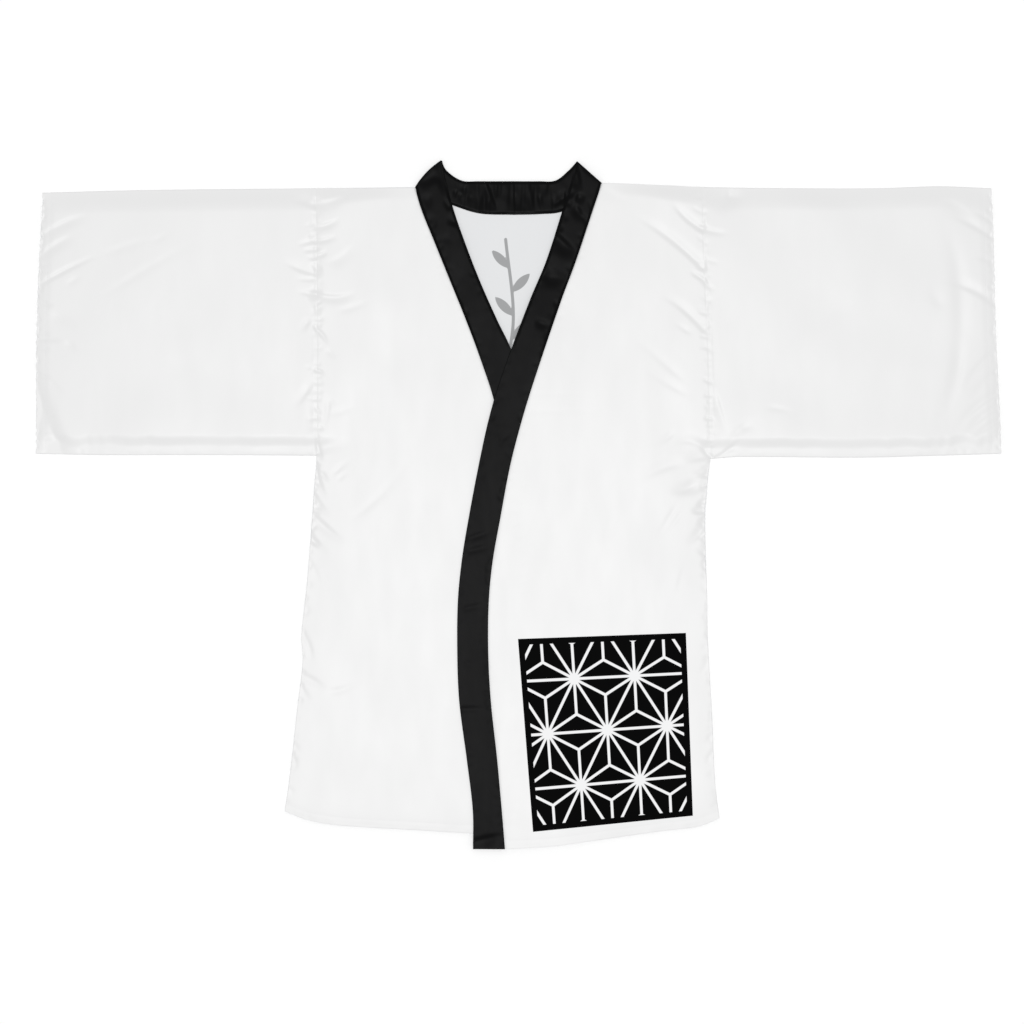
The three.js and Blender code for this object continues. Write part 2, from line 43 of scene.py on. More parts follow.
# Sizes of the cloth and of how it lies
cloth = {
    "wall": 1.2,  # the panel's height in the frame; the cloth's own shell is thinner
    "bandWall": 2.4,
    "shell": 0.55,
    "bandShell": 0.45,
    "bandWide": 50,
    "bandSwell": 1.3,  # from the shoulder on
    "backTop": 0.95,  # heights of the back's two faces
    "backBottom": 0.05,
    "seamGap": 0.3,
    "layerGap": 0.6,
    "air": 3.2,  # how far the upper cloth stands off the lower one
    "airByBand": 0.12,  # share of that air beside the band
    "bandPress": 120,  # how far from the band it is less
    "bandStep": 26,  # length over which the upper front goes over the lower band's edge
    "hem": 13,  # from the hem's edge to its stitches
    "cuffHem": 15,
    "edgeDrop": 1.35,  # how far a front turns down at its side and shoulder
    "hemDrop": 0.2,
    "cuffDrop": 0.3,
    "seamDrop": 0.5,  # under the band
    "hemGroove": (0.1, 2.6),  # depth and half width of the dent along the stitches
    "cuffGroove": (0.14, 2.4),
}
frontRest = cloth["wall"] + cloth["seamGap"]
bandLift = cloth["bandWall"] + 2 * cloth["seamGap"]
foldRadius = bandLift / 2
bandClimb = (0.8, 0.88, 0.93)  # shares of its length where a band starts up, is up and starts to level out

edges = {
    # y, x where they run up the robe
    "rightSide": [(76, -313), (30, -317), (-25, -321), (-118, -328), (-205, -337), (-242, -335),
                  (-304, -342), (-428, -356), (-476, -363)],
    "leftSide": [(71, 298), (37, 294), (-25, 290), (-149, 293), (-211, 294), (-335, 301), (-428, 305),
                 (-487, 312)],
    "rightArmhole": [(491, -314), (300, -313), (76, -313)],
    "leftArmhole": [(493, 285), (383, 288), (232, 295), (71, 298)],
    "rightCuff": [(484, -739), (347, -746), (239, -749), (79, -749.5)],
    "leftCuff": [(491, 734), (440, 737), (363, 739), (254, 742), (130, 748), (79, 749.5)],
    "leftBandSeam": [(-534.5, -21), (-474, -26), (-397, -33), (-304, -43), (-226, -47), (-149, -46),
                     (-87, -40), (-25, -29), (60, -13), (130, 5), (192, 24), (316, 66), (378, 89),
                     (456, 115), (499, 129.5)],
    "leftBandFree": [(-534.5, -70.5), (-474, -71), (-397, -80), (-304, -92), (-226, -95), (-149, -94),
                     (-87, -88), (-25, -78), (60, -62), (137, -45), (203, -25), (318, 18), (378, 43),
                     (456, 68), (533, 91)],
    "rightBandSeam": [(-512, -8), (-397, 2), (-304, 12), (-226, 15), (-149, 14), (-87, 8), (-25, -2),
                      (60, -18), (161, -38), (223, -58), (285, -81), (347, -106), (409, -131), (456, -150),
                      (492, -161)],
    "rightBandFree": [(-512, 41), (-397, 51), (-304, 61), (-226, 64), (-149, 63), (-87, 57), (-25, 46),
                      (60, 31), (168, 11), (242, -12), (286, -33), (347, -60), (409, -84), (465, -103),
                      (534.5, -120)],
    # x, y where they run across it
    "rightHem": [(-363, -476), (-326, -490), (-275, -498), (-159, -505), (-72, -510), (20, -512)],
    "leftHem": [(-22, -534), (49, -530), (111, -522), (219, -507), (281, -499), (312, -487)],
    "backHem": [(-363, -476), (-275, -496), (-72, -508), (111, -510), (250, -499), (312, -487)],
    "shoulder": [(-739, 484), (-587, 488), (-314, 491), (-161, 493), (129, 499), (219, 496), (285, 493),
                 (420, 491), (560, 491), (653, 494), (734, 491)],
    "rightSleeveUnder": [(-750, 79), (-649, 77), (-480, 77), (-313, 76)],
    "leftSleeveUnder": [(298, 71), (343, 74), (529, 73), (653, 76), (750, 79)],
}
centreBack = -7
rightNeckSeam = [(-161, 492), (-135, 478), (-103, 465), (-60, 452), (centreBack, 450)]
rightNeckFree = [(-120, 534.5), (-111, 518), (-88, 503), (-60, 502), (centreBack, 502)]
leftNeckSeam = [(129.5, 499), (104, 474), (68, 455), (33, 451), (centreBack, 450)]
leftNeckFree = [(91, 533), (77, 518), (57, 503), (30, 502), (centreBack, 502)]

# Creases: x1, y1, x2, y2, bow to its left, half width, how many times wider on its right, depth.
# Those off a seam start whole, and the free ones fade at both ends.
seamCreases = [
    # right cuff
    (-731, 423, -664, 449, 4, 3, 3, 1.04), (-739, 388, -684, 418, 4, 3, 3, 1.04),
    (-741, 342, -649, 388, 2, 3.2, 0.9, 1.2), (-745, 266, -724, 264, 0, 2.6, 1.5, 0.72),
    (-742, 257, -704, 254, 2, 3, 1.5, 0.64), (-744, 202, -722, 196, -1, 2.6, 1.5, 0.72),
    (-742, 316, -719, 310, -2, 2.6, 1.5, 0.8), (-756, 182, -690, 17, 3, 13, 2.2, 2.9),
    # right sleeve, by the armhole
    (-318, 358, -367, 379, 2, 3.2, 3, 0.96), (-313, 327, -346, 331, 1, 2.8, 1.5, 0.8),
    (-314, 464, -354, 475, -1, 5.3, 2.1, 0.72), (-314, 411, -346, 402, 1, 2.6, 1.5, 0.8),
    (-313, 434, -334, 431, 0, 2.5, 1.5, 0.64), (-314, 396, -336, 393, 0, 2.5, 1.5, 0.88),
    (-314, 349, -350, 351, 1, 2.6, 1.5, 0.48),
    # right front, by the armhole
    (-313, 430, -275, 445, -2, 2.6, 2.4, 1.12), (-313, 409, -279, 417, -1, 2.6, 1.8, 0.96),
    (-314, 386, -294, 393, -1, 2.5, 1.5, 1.04), (-313, 326, -248, 331, -7, 3.3, 2.5, 1.2),
    (-314, 273, -295, 247, 2, 3, 1, 1.12), (-312, 466, -262, 481, -3, 4, 2.2, 0.88),
    # right front, underarm and side
    (-311, 92, -305, 66, 0, 2.8, 1.5, 1.28), (-314, 62, -296, 8, -4, 2.8, 2.5, 1.52),
    (-316, 14, -290, -18, -3, 3.3, 2.5, 0.88), (-319, -16, -267, -60, -2, 4, 2.5, 1.36),
    (-321, -46, -292, -78, -3, 3.5, 1.5, 0.56), (-332, -204, -320, -247, 3, 3.2, 1.5, 0.8),
    (-339, -263, -295, -291, 3, 3.5, 2.5, 1.04), (-339, -277, -320, -306, -2, 3, 1.5, 0.8),
    (-353, -384, -342, -412, 1, 2.8, 1.5, 0.64), (-325, -86, -308, -125, 2, 3, 1.5, 0.32),
    # left front, by the armhole
    (283, 427, 236, 472, 4, 2.8, 2.5, 1.36), (284, 368, 176, 451, -5, 3.3, 2.5, 1.44),
    (286, 349, 264, 363, 0, 2.5, 1.5, 1.04), (287, 271, 218, 328, -4, 3.3, 2.5, 1.04),
    # left front, underarm and side
    (297, 75, 281, 93, 1, 2.6, 1.5, 1.28), (290, 88, 238, 94, -8, 5, 1.8, 1.2),
    (296, 73, 254, 65, -3, 5, 1.6, 0.9), (293, 34, 232, 22, 6, 8, 1.5, 1.1),
    (296, 47, 274, 42, 0, 2.8, 1.5, 1.2), (292, 52, 268, 49, 0, 2.4, 1.3, 0.6),
    (291, -12, 268, -8, 2, 3, 1.5, 1.2), (292, -26, 260, -64, 3, 4.4, 1.8, 1.36),
    (286, -4, 266, -12, 1, 4, 1.5, 0.8), (293, -52, 286, -88, 1, 3, 1.5, 0.72),
    (294, -241, 278, -266, 2, 3, 1.5, 0.4),
    # left sleeve, by the armhole
    (284, 429, 330, 421, -2, 3.2, 1.5, 0.8), (333, 494, 325, 468, 0, 3.5, 1.5, 1.04),
    (299, 68, 350, 108, -3, 2.6, 2.5, 1.3), (290, 343, 306, 331, 0, 2.5, 1.5, 0.48),
    (289, 381, 315, 374, 0, 2.6, 1.5, 0.4),
    # left cuff
    (737, 412, 668, 449, -3, 3.3, 2.5, 0.96), (738, 311, 657, 348, -6, 3.9, 2.5, 1.12),
    (740, 236, 690, 180, -4, 3.5, 1.5, 0.72), (742, 171, 676, 112, -6, 3.5, 2, 0.88),
    (742, 150, 690, 104, -4, 3.5, 2, 0.88), (743, 129, 704, 98, -3, 3, 1.5, 0.8),
    (736, 438, 706, 455, 0, 2.6, 1.5, 0.64), (735, 376, 708, 385, 0, 3, 1.5, 0.48),
    (740, 205, 700, 160, -3, 3.5, 1.5, 0.48),
]
freeCreases = [
    # right cuff
    (-704, 339, -673, 357, 1, 3.1, 1.5, 0.32), (-735, 295, -680, 276, 5, 5.3, 2.4, 0.48),
    (-705, 254, -683, 235, 2, 3.5, 1.5, 0.4), (-735, 196, -704, 166, 3, 3.5, 1.5, 0.36),
    (-731, 126, -706, 84, 0, 4.4, 1.5, 0.72), (-656, 317, -487, 415, 3, 4.4, 1.5, 0.28),
    (-652, 385, -556, 416, 2, 4.4, 1.5, 0.28), (-571, 405, -540, 424, 0, 3.1, 1.5, 0.28),
    # right sleeve, by the armhole
    (-321, 290, -337, 264, -2, 3.3, 1.5, 0.96), (-319, 190, -349, 148, 1, 3.2, 2.4, 0.88),
    (-325, 108, -324, 170, 1, 3.5, 1.5, 0.48), (-319, 212, -333, 214, 0, 2.4, 1, 0.36),
    # right front, by the armhole
    (-300, 372, -250, 410, -5, 4, 2.7, 0.64), (-285, 300, -227, 318, -2, 4, 1.5, 0.44),
    (-299, 243, -282, 224, 1, 3.5, 1.5, 0.48), (-295, 174, -303, 112, 3, 3.5, 1.5, 0.64),
    (-298, 140, -246, 157, -2, 4.4, 1.5, 0.4), (-293, 166, -283, 152, 0, 2.4, 1, 0.36),
    (-310, 122, -299, 114, 0, 2.4, 1, 0.42),
    # right front, underarm and side
    (-307, 54, -293, 34, -1, 2.6, 1.5, 0.8), (-292, 43, -258, 71, 2, 3.5, 1.5, 0.56),
    (-284, 36, -262, 52, 1, 3, 1.5, 0.4), (-258, -24, -162, 84, -6, 4.8, 1.5, 0.32),
    (-261, -27, -198, 27, 3, 4.4, 1.5, 0.36), (-305, -291, -243, -272, -5, 4, 1.5, 0.72),
    # left front, by the armhole
    (272, 263, 238, 286, 1, 3.2, 1.5, 0.4), (266, 184, 176, 264, 0, 4.4, 1.5, 0.48),
    (272, 165, 191, 215, 2, 4.4, 1.5, 0.4),
    # left front, underarm and side
    (244, 116, 214, 90, 1, 4, 1.5, 0.6), (264, 66, 174, 26, -9, 7, 1.4, 0.85),
    (284, 42, 228, 20, 7, 5.3, 2, 0.96), (252, 8, 210, -60, 0, 3.2, 1.5, 0.56),
    (259, -6, 221, -54, 0, 3.2, 1.5, 0.48), (125, -66, 150, -5, -2, 4.4, 1.5, 0.4),
    (246, -142, 261, -84, 1, 4, 1.5, 0.32), (294, -167, 292, -218, 3, 3.5, 1.5, 0.72),
    (306, -439, 311, -489, 4, 4.4, 1.5, 0.96),
    # left sleeve, by the armhole
    (347, 492, 296, 458, 5, 12, 1.5, 1.6), (301, 186, 326, 100, 0, 2.4, 4, 0.9),
    (299, 300, 303, 165, 2, 4, 1.5, 0.4), (323, 97, 377, 139, 3, 5.3, 1.5, 0.64),
    (381, 150, 430, 140, 4, 3.5, 1.5, 0.36), (340, 120, 372, 118, 2, 4.4, 1.5, 0.4),
    # left cuff
    (662, 447, 650, 112, 31, 12, 1, 1.1), (688, 262, 652, 122, 9, 5.7, 2, 0.8),
    (653, 472, 708, 438, 6, 7, 1.5, 0.56), (660, 300, 640, 350, 4, 7, 1.5, 0.4),
    # the body, soft
    (58, 286, 41, 205, -3, 5.3, 1.5, 0.4), (75, 255, 64, 193, -2, 4.4, 1.5, 0.32),
    (120, 491, 176, 463, 3, 7, 1.5, 0.48), (-60, -63, -75, -140, 3, 7.9, 1.5, 0.24),
    (-150, 38, -120, -63, 5, 15, 1, 0.35), (150, 119, 91, 10, 5, 17, 1, 0.35),
    (-218, 249, -170, 150, 7, 16, 1, 0.35), (-250, -328, -181, -418, 5, 15, 1, 0.3),
    (207, -316, 254, -291, 2, 6, 1.5, 0.6), (40, -262, 52, -350, 3, 8, 1.5, 0.5),
    # the sleeves, long and soft
    (518, 332, 429, 261, 7, 19, 1, 0.35), (-559, 230, -470, 181, 6, 19, 1, 0.35),
]
bandEdgeCreases = [
    # the back of the neck
    (-65, 502, -60, 440, 0, 5.6, 2.6, 2.4), (-53, 502, -33, 446, 0, 3, 3, 2.2),
    (-34, 502, -35, 472, 0, 2.2, 2.5, 0.8), (-28, 502, -29, 474, 0, 2.1, 2.5, 0.6),
    (-12, 502, -11, 440, 0, 2.2, 2.5, 0.8), (-6, 502, -5, 450, 0, 2, 2.5, 0.6),
    (3, 502, 0, 436, 0, 4, 2.6, 1.7), (14, 502, 26, 440, -2, 5, 2.5, 2.3), (33, 502, 36, 456, 0, 3, 2.5, 0.9),
    (44, 500, 40, 474, 0, 2.8, 1.9, 0.63), (77, 479, 51, 464, 0, 3.2, 2.4, 1.8),
    # the right band, from the shoulder down
    (-122, 532, -110, 470, 0, 3.2, 2.6, 2.2), (-91, 436, -114, 441, 0, 3.8, 2, 1.8),
    (-110, 466, -104, 456, 0, 3.2, 1.4, 1.08),
    # the left band, from the shoulder down
    (84, 532, 97, 480, 0, 4.6, 1.8, 2.5), (127, 503, 91, 530, 0, 2.6, 1.6, 1.2),
    (74, 470, 88, 463, 0, 3.2, 1.6, 1.08), (57, 416, 92, 384, 0, 5, 2.6, 2.8),
    (59, 433, 72, 425, 0, 2.8, 1.6, 1.08), (70, 452, 78, 438, 0, 2.8, 1.4, 0.72),
    # the left band, lower
    (-76, -52, -36, -40, 1, 2.8, 2.2, 0.81), (-76, -71, -38, -64, 1, 2.8, 2.2, 0.81),
    (-80, -160, -47, -153, 0, 2.8, 1.9, 0.63), (-86, -317, -47, -317, 1, 2.8, 2.2, 0.81),
    (-72, -524, -20, -512, 0, 4.2, 2.3, 1.8),
]
bandFreeCreases = [
    # the back of the neck
    (32, 484, 35, 459, 0, 2.3, 1.4, 0.72), (-84, 498, -87, 476, 0, 2.8, 1.9, 0.72),
    (-97, 490, -99, 474, 0, 2.3, 1.4, 0.81), (-90, 486, -91, 468, 0, 2.3, 1.4, 0.9),
    (-73, 482, -80, 464, 0, 2.8, 1.4, 0.63), (-45, 476, -50, 458, 0, 2.5, 1.4, 0.54),
    (-6, 486, -4, 460, 0, 2.1, 1.4, 0.54), (66, 470, 50, 462, 0, 2.5, 1.4, 0.63),
    # the right band, from the shoulder down
    (-158, 494, -120, 530, -2, 4, 2.2, 1.5), (-134, 516, -122, 498, 0, 4.8, 2, 0.81),
    (-141, 484, -138, 456, 0, 5.7, 1.8, 0.72), (-146, 446, -122, 436, 2, 4.8, 1.4, 0.54),
    (-118, 418, -100, 402, 1, 4.8, 1.6, 0.45),
    # the left band, from the shoulder down
    (88, 479, 106, 474, 0, 4.2, 2, 1.62), (85, 468, 104, 437, 0, 3.2, 2.7, 1.8),
    (40, 368, 82, 346, 2, 4.8, 1.9, 0.81), (34, 354, 80, 348, 1, 5.7, 2.2, 1.89),
    (24, 286, 56, 277, -1, 3.4, 2.2, 1.35), (98, 452, 112, 430, 0, 3.2, 1.4, 0.72),
    (-32, 95, -5, 114, 2, 3.8, 1.4, 0.54),
    # the left band, lower
    (-90, -244, -60, -250, 0, 3.8, 1.9, 0.45),
]
# Small dents at the seams, all of one form: x1, y1, x2, y2, depth
dents = [
    (-742, 371, -727, 372, 0.6), (-742, 361, -729, 361, 0.48), (-744, 243, -726, 239, 0.6),
    (-314, 382, -332, 384, 0.36), (-316, 163, -334, 166, 0.42), (-315, 134, -332, 131, 0.42),
    (-313, 311, -303, 316, 0.66), (-313, 287, -301, 288, 0.6), (-312, 278, -303, 278, 0.48),
    (-270, 486, -264, 470, 0.42), (-313, 209, -301, 205, 0.84), (-312, 366, -302, 366, 0.42),
    (-313, 345, -300, 347, 0.36), (287, 297, 276, 300, 0.6), (291, 260, 279, 262, 0.6),
    (290, 243, 279, 245, 0.36), (285, 366, 273, 369, 0.42), (295, 191, 284, 196, 0.66),
    (296, 169, 285, 170, 0.66), (297, 133, 285, 136, 0.66), (297, 122, 288, 124, 0.42),
    (279, 456, 268, 461, 0.3), (297, 58, 280, 57, 0.9), (294, 30, 280, 28, 0.6), (294, 9, 277, 3, 0.84),
]
dentForm = (0, 2.4, 1)  # bow, half width and lean


def rooted(seamRows, freeRows):
    # both kinds of crease in one list, with 1 for those that start whole
    return [(*row, 1) for row in seamRows] + [(*row, 0) for row in freeRows]


creases = rooted(seamCreases, freeCreases) + [(*row[:4], *dentForm, row[4], 1) for row in dents]
bandCreases = rooted(bandEdgeCreases, bandFreeCreases)


def mix(a, b, t):
    return a + (b - a) * t


def ease(start, end, t):
    t = np.clip((t - start) / (end - start), 0, 1)
    return t * t * (3 - 2 * t)


def smoothLine(rows):
    # a smooth curve through rows, read at any place
    ats, values = np.array(sorted(rows), float).T
    index = np.arange(len(ats))
    before, after = np.maximum(index - 1, 0), np.minimum(index + 1, len(ats) - 1)
    slopes = (values[after] - values[before]) / (ats[after] - ats[before])

    def read(place):
        place = np.clip(place, ats[0], ats[-1])
        i = np.clip(np.searchsorted(ats, place, side="right") - 1, 0, len(ats) - 2)
        step = ats[i + 1] - ats[i]
        t = (place - ats[i]) / step
        return ((2 * t**3 - 3 * t**2 + 1) * values[i] + (t**3 - 2 * t**2 + t) * step * slopes[i]
                + (3 * t**2 - 2 * t**3) * values[i + 1] + (t**3 - t**2) * step * slopes[i + 1])

    return read


at = {name: smoothLine(rows) for name, rows in edges.items()}


def spaced(*stretches):
    # shares from 0 to 1 along a run of stretches, each a length and a step
    places = [0.0]
    for length, step in stretches:
        count = max(1, round(length / step))
        places += list(places[-1] + length * np.arange(1, count + 1) / count)
    return np.array(places) / places[-1]


def spline(points, wanted):
    # a smooth line through points, read at shares of its length
    points = np.array(points, float)
    padded = np.vstack([2 * points[0] - points[1], points, 2 * points[-1] - points[-2]])
    t = np.linspace(0, 1, 40, endpoint=False)[:, None]
    fine = []
    for i in range(len(points) - 1):
        p0, p1, p2, p3 = padded[i : i + 4]
        fine.append(0.5 * (2 * p1 + (p2 - p0) * t + (2 * p0 - 5 * p1 + 4 * p2 - p3) * t**2
                           + (3 * p1 - p0 - 3 * p2 + p3) * t**3))
    fine = np.vstack([*fine, points[-1:]])
    runs = np.r_[0, np.cumsum(np.hypot(*np.diff(fine, axis=0).T))]
    wanted = np.array(wanted) * runs[-1]
    return np.c_[np.interp(wanted, runs, fine[:, 0]), np.interp(wanted, runs, fine[:, 1])]


def foldSum(x, y, rows):
    # what a table of creases adds to the height at each point, which is below zero in a crease
    total = np.zeros(np.shape(x))
    for x1, y1, x2, y2, bow, half, lean, depth, root in rows:
        dx, dy = x2 - x1, y2 - y1
        length = math.hypot(dx, dy)
        reach = 0.5 * length + 3 * half * max(lean, 1) + abs(bow)
        near = (abs(x - (x1 + x2) / 2) < reach) & (abs(y - (y1 + y2) / 2) < reach)
        if not near.any():
            continue
        px, py = x[near] - x1, y[near] - y1
        t = (px * dx + py * dy) / length**2
        inside = np.clip(t, 0, 1)
        across = (py * dx - px * dy) / length - 4 * bow * inside * (1 - inside)
        across = np.where(across > 0, across, across / lean) / half
        past = (t - inside) * length / half
        past = np.where((past < 0) & (root > 0), past / 2.5, past)
        start = 1 if root else ease(0, 0.35, inside)
        total[near] -= depth * start * (1 - ease(0.35, 1, inside)) * np.exp(-across**2 - past**2)
    return total


def puckersAlong(line, side, spacing, long, depth, seed, slant=0.5, back=0, lean=(1, 2)):
    # short uneven creases off a seam, to the left of its line where side is 1; back is how far they cross it
    rng = np.random.default_rng(seed)
    line = np.array(line, float)
    runs = np.r_[0, np.cumsum(np.hypot(*np.diff(line, axis=0).T))]
    rows, s = [], spacing * 0.5
    while s < runs[-1] - 2:
        here = np.array([np.interp(s, runs, line[:, k]) for k in (0, 1)])
        ahead = np.array([np.interp(s + 2, runs, line[:, k]) for k in (0, 1)])
        along = (ahead - here) / np.linalg.norm(ahead - here)
        way = side * np.array([-along[1], along[0]]) + rng.normal(0, slant) * along
        start = here - back * rng.uniform(0.4, 1.3) * way
        end = here + long * rng.uniform(0.35, 1.3) * way
        rows.append((*start, *end, rng.normal(0, 1.2), rng.uniform(2.2, 3.4), rng.uniform(*lean),
                     depth * rng.uniform(0.3, 1.3), 0 if back else 1))
        s += spacing * rng.uniform(0.45, 1.6)
    return rows


def edgeLine(name, low, high, count=60):
    # points along an edge, between two places up the robe or across it
    place = np.linspace(low, high, count)
    across = name.endswith(("Hem", "Under"))
    return np.c_[place, at[name](place)] if across else np.c_[at[name](place), place]


# Puckers: edge, from, to, side, spacing, length, depth, seed, slant, how far they cross the edge, lean
puckerRows = [
    ("rightSide", -60, 66, -1, 8, 13, 0.7, 4, 0.7),
    ("rightSide", -470, -70, -1, 19, 11, 0.45, 41, 0.7),
    ("leftSide", -110, 60, 1, 7, 13, 0.8, 8, 0.6),
    ("leftSide", -480, -115, 1, 15, 12, 0.5, 81, 0.7),
    ("rightCuff", 84, 478, -1, 9, 8, 1.5, 12, 0.3, -2),
    ("leftCuff", 84, 486, 1, 10, 9, 0.9, 15, 0.3, -2),
    ("rightArmhole", 300, 480, -1, 5.5, 14, 0.6, 3, 0.35, 13, (1.5, 3)),
    ("rightArmhole", 86, 300, -1, 12, 13, 0.4, 31, 0.45),
    ("leftArmhole", 250, 485, 1, 8, 15, 0.36, 7, 0.5, 9),
    ("leftArmhole", 82, 250, 1, 11, 11, 0.36, 71, 0.4),
    ("rightHem", -355, -20, 1, 12, 11, 0.3, 5),
    ("leftHem", -10, 306, 1, 12, 11, 0.3, 9),
    ("rightSleeveUnder", -742, -320, 1, 11, 11, 0.4, 13),
    ("leftSleeveUnder", 306, 742, 1, 11, 11, 0.4, 16),
    ("rightBandSeam", -505, 480, 1, 14, 11, 0.25, 6),
    ("leftBandSeam", -525, 485, -1, 14, 11, 0.25, 10),
]
puckersBy = {}
for edge, low, high, *form in puckerRows:
    puckersBy.setdefault(edge, []).extend(puckersAlong(edgeLine(edge, low, high), *form))
puckers = sum(puckersBy.values(), [])
edgeRound = 0.6  # how far in from a folded edge the cloth turns over


def slopeUp(distance, reach):
    # how far the cloth has come up at a distance from an edge, from 0 to 1, as in the four functions below
    return np.sin(math.pi / 2 * np.clip(distance / reach, 0, 1))


def settle(distance, reach):
    return 1 - np.exp(-np.maximum(distance, 0) / reach)


def topRise(distance, reach):
    broad = mix(slopeUp(distance, reach), ease(0, reach, distance), 0.5)
    return mix(slopeUp(distance, edgeRound), broad, 0.92)


def sideRise(distance):
    return 0.45 * slopeUp(distance, edgeRound) + 0.55 * settle(distance, 65)


def underRise(distance):
    # up to the seam allowance, flat over it, steeply up again and then a little down
    return (0.06 * slopeUp(distance, edgeRound) + 0.26 * ease(-3, 8, distance) + 1.05 * ease(11, 32, distance)
            - 0.37 * ease(34, 130, distance))


def cuffRise(distance):
    return 0.2 * slopeUp(distance, edgeRound) + 0.45 * slopeUp(distance, 24) + 0.35 * settle(distance, 45)


def hemRise(distance):
    gentle = 0.15 * slopeUp(distance, 34) + 0.45 * settle(distance, 90)
    return 0.36 + 0.04 * slopeUp(distance, edgeRound) + gentle


def gentleWaves(x, y):
    # long, very low waves, so that no stretch of satin is dead flat
    return 0.32 * (np.sin(x / 31 + 1.1 * np.sin(y / 83)) * np.sin(y / 57 + 0.8 * np.sin(x / 71))
                   + 0.6 * np.sin((x + 1.7 * y) / 47 + 2 * np.sin((x - y) / 140)))


def standOff(x, y, openness):
    broad = cloth["air"] + gentleWaves(x, y)
    fine = foldSum(x, y, creases + puckers)
    return np.maximum(-0.5, openness * broad + np.minimum(1, openness + 0.45) * fine)


def seamRidge(distance):
    # the sleeve comes up from the armhole seam over the seam allowances and goes down behind them
    return (0.3 * np.clip(distance / 4.2, 0, 1) - 0.16) * (1 - ease(4.2, 9, distance))


def seamDip(distance):
    # the front goes down a little to the seam
    return 0.16 * (1 - ease(0, 4.2, distance))


def bottomWave(x, fromCuff):
    # the allowances under a sleeve lie crooked, most of all near the cuff
    wave = np.sin(x / 11 + 1.6 * np.sin(x / 23)) + 0.5 * np.sin(x / 4.1 + 2 * np.sin(x / 13))
    return mix(2.3, 0.5, ease(60, 230, fromCuff)) * wave


def frontOpenness(front, x, y):
    underarmY, underarmX = front["underarm"]
    fromSide = np.where(y < underarmY, abs(x - at[front["side"]](y)), np.hypot(x - underarmX, y - underarmY))
    upward = ease(0, 1, (y - underarmY) / np.maximum(fromSide, 0.001)) * (1 - ease(5, 65, abs(x - underarmX)))
    topReach = mix(30, 20, ease(0, 110, abs(x - at[front["armhole"]](y))))
    fromBand = front["inward"] * (at[front["seam"]](y) - x)
    return (topRise(at["shoulder"](x) - y, topReach) * hemRise(y - at[front["hem"]](x))
            * mix(sideRise(fromSide), underRise(y - underarmY), upward)
            * mix(cloth["airByBand"], 1, ease(0, cloth["bandPress"], fromBand)))


def rightFrontUnderside(x, y):
    return frontRest + standOff(x, y, frontOpenness(rightFront, x, y))


def leftFrontUnderside(x, y):
    # it lies on the lower front's panel, then on that front's band, and comes down past the band's edge
    lies = frontRest + standOff(x, y, frontOpenness(leftFront, x, y))
    seam, free, step = at["rightBandSeam"](y), at["rightBandFree"](y), cloth["bandStep"]
    onBand = ease(seam - 2 * step, seam - step, x)
    past = ease(free + step, free + 5 * step, x)
    lowerTop = rightFrontUnderside(np.minimum(x, free), y) + mix(cloth["wall"], cloth["bandWall"], onBand)
    return mix(np.maximum(lies, lowerTop + cloth["layerGap"]), lies, past)


def sleeveUnderside(sleeve, x, y):
    fromUnder, fromCuff = y - at[sleeve["under"]](x), abs(at[sleeve["cuff"]](y) - x)
    fromUnder = fromUnder + bottomWave(x, fromCuff) * ease(2, 9, fromUnder)
    openness = topRise(at["shoulder"](x) - y, 36) * underRise(fromUnder) * cuffRise(fromCuff)
    return frontRest + standOff(x, y, openness)


def rounded(distance, radius):
    # 0 at an edge and 1 from a radius in, as a quarter of a circle
    return np.sqrt(1 - (1 - np.clip(distance / radius, 0, 1)) ** 2)


def notches(place, rows, column):
    # how far an edge is drawn in at its puckers
    drawn = np.zeros(np.shape(place))
    for row in rows:
        drawn += 1.3 * row[7] * np.exp(-(((place - row[column]) / 3.2) ** 2))
    return drawn


def makeMesh(name, layers, quads, materials, faceMaterial=None, values=None, rim=0):
    mesh = bpy.data.meshes.new(name)
    points = np.concatenate([np.reshape(layer, (-1, 3)) for layer in layers]) * mm
    quads = np.concatenate(quads)
    mesh.vertices.add(len(points))
    mesh.vertices.foreach_set("co", points.astype(np.float32).ravel())
    mesh.loops.add(quads.size)
    mesh.loops.foreach_set("vertex_index", quads.ravel().astype(np.int32))
    mesh.polygons.add(len(quads))
    mesh.polygons.foreach_set("loop_start", np.arange(0, quads.size, 4, dtype=np.int32))
    # the first faces are the thin rims, shaded flat
    mesh.polygons.foreach_set("use_smooth", np.arange(len(quads)) >= rim)
    for material in materials:
        mesh.materials.append(material)
    if faceMaterial is not None:
        mesh.polygons.foreach_set("material_index", np.concatenate(faceMaterial).astype(np.int32))
    for key, value in (values or {}).items():
        attribute = mesh.attributes.new(key, "FLOAT", "POINT")
        attribute.data.foreach_set("value", np.ravel(value).astype(np.float32))
    mesh.update(calc_edges=True)
    mesh.validate()
    # a sharp edge between a rim and the faces beside it keeps their shading apart
    mesh.set_sharp_from_angle(angle=math.radians(60))
    piece = bpy.data.objects.new(name, mesh)
    bpy.context.scene.collection.objects.link(piece)
    return piece


def gridQuads(rows, columns, first=0, flip=False, ring=False):
    i, j = np.meshgrid(np.arange(rows - 1), np.arange(columns if ring else columns - 1), indexing="ij")
    k = (j + 1) % columns
    quads = np.stack([i * columns + j, i * columns + k, (i + 1) * columns + k, (i + 1) * columns + j], -1)
    quads = quads.reshape(-1, 4) + first
    return quads[:, ::-1] if flip else quads


def rimQuads(upper, lower):
    return np.stack([upper[:-1], lower[:-1], lower[1:], upper[1:]], -1)


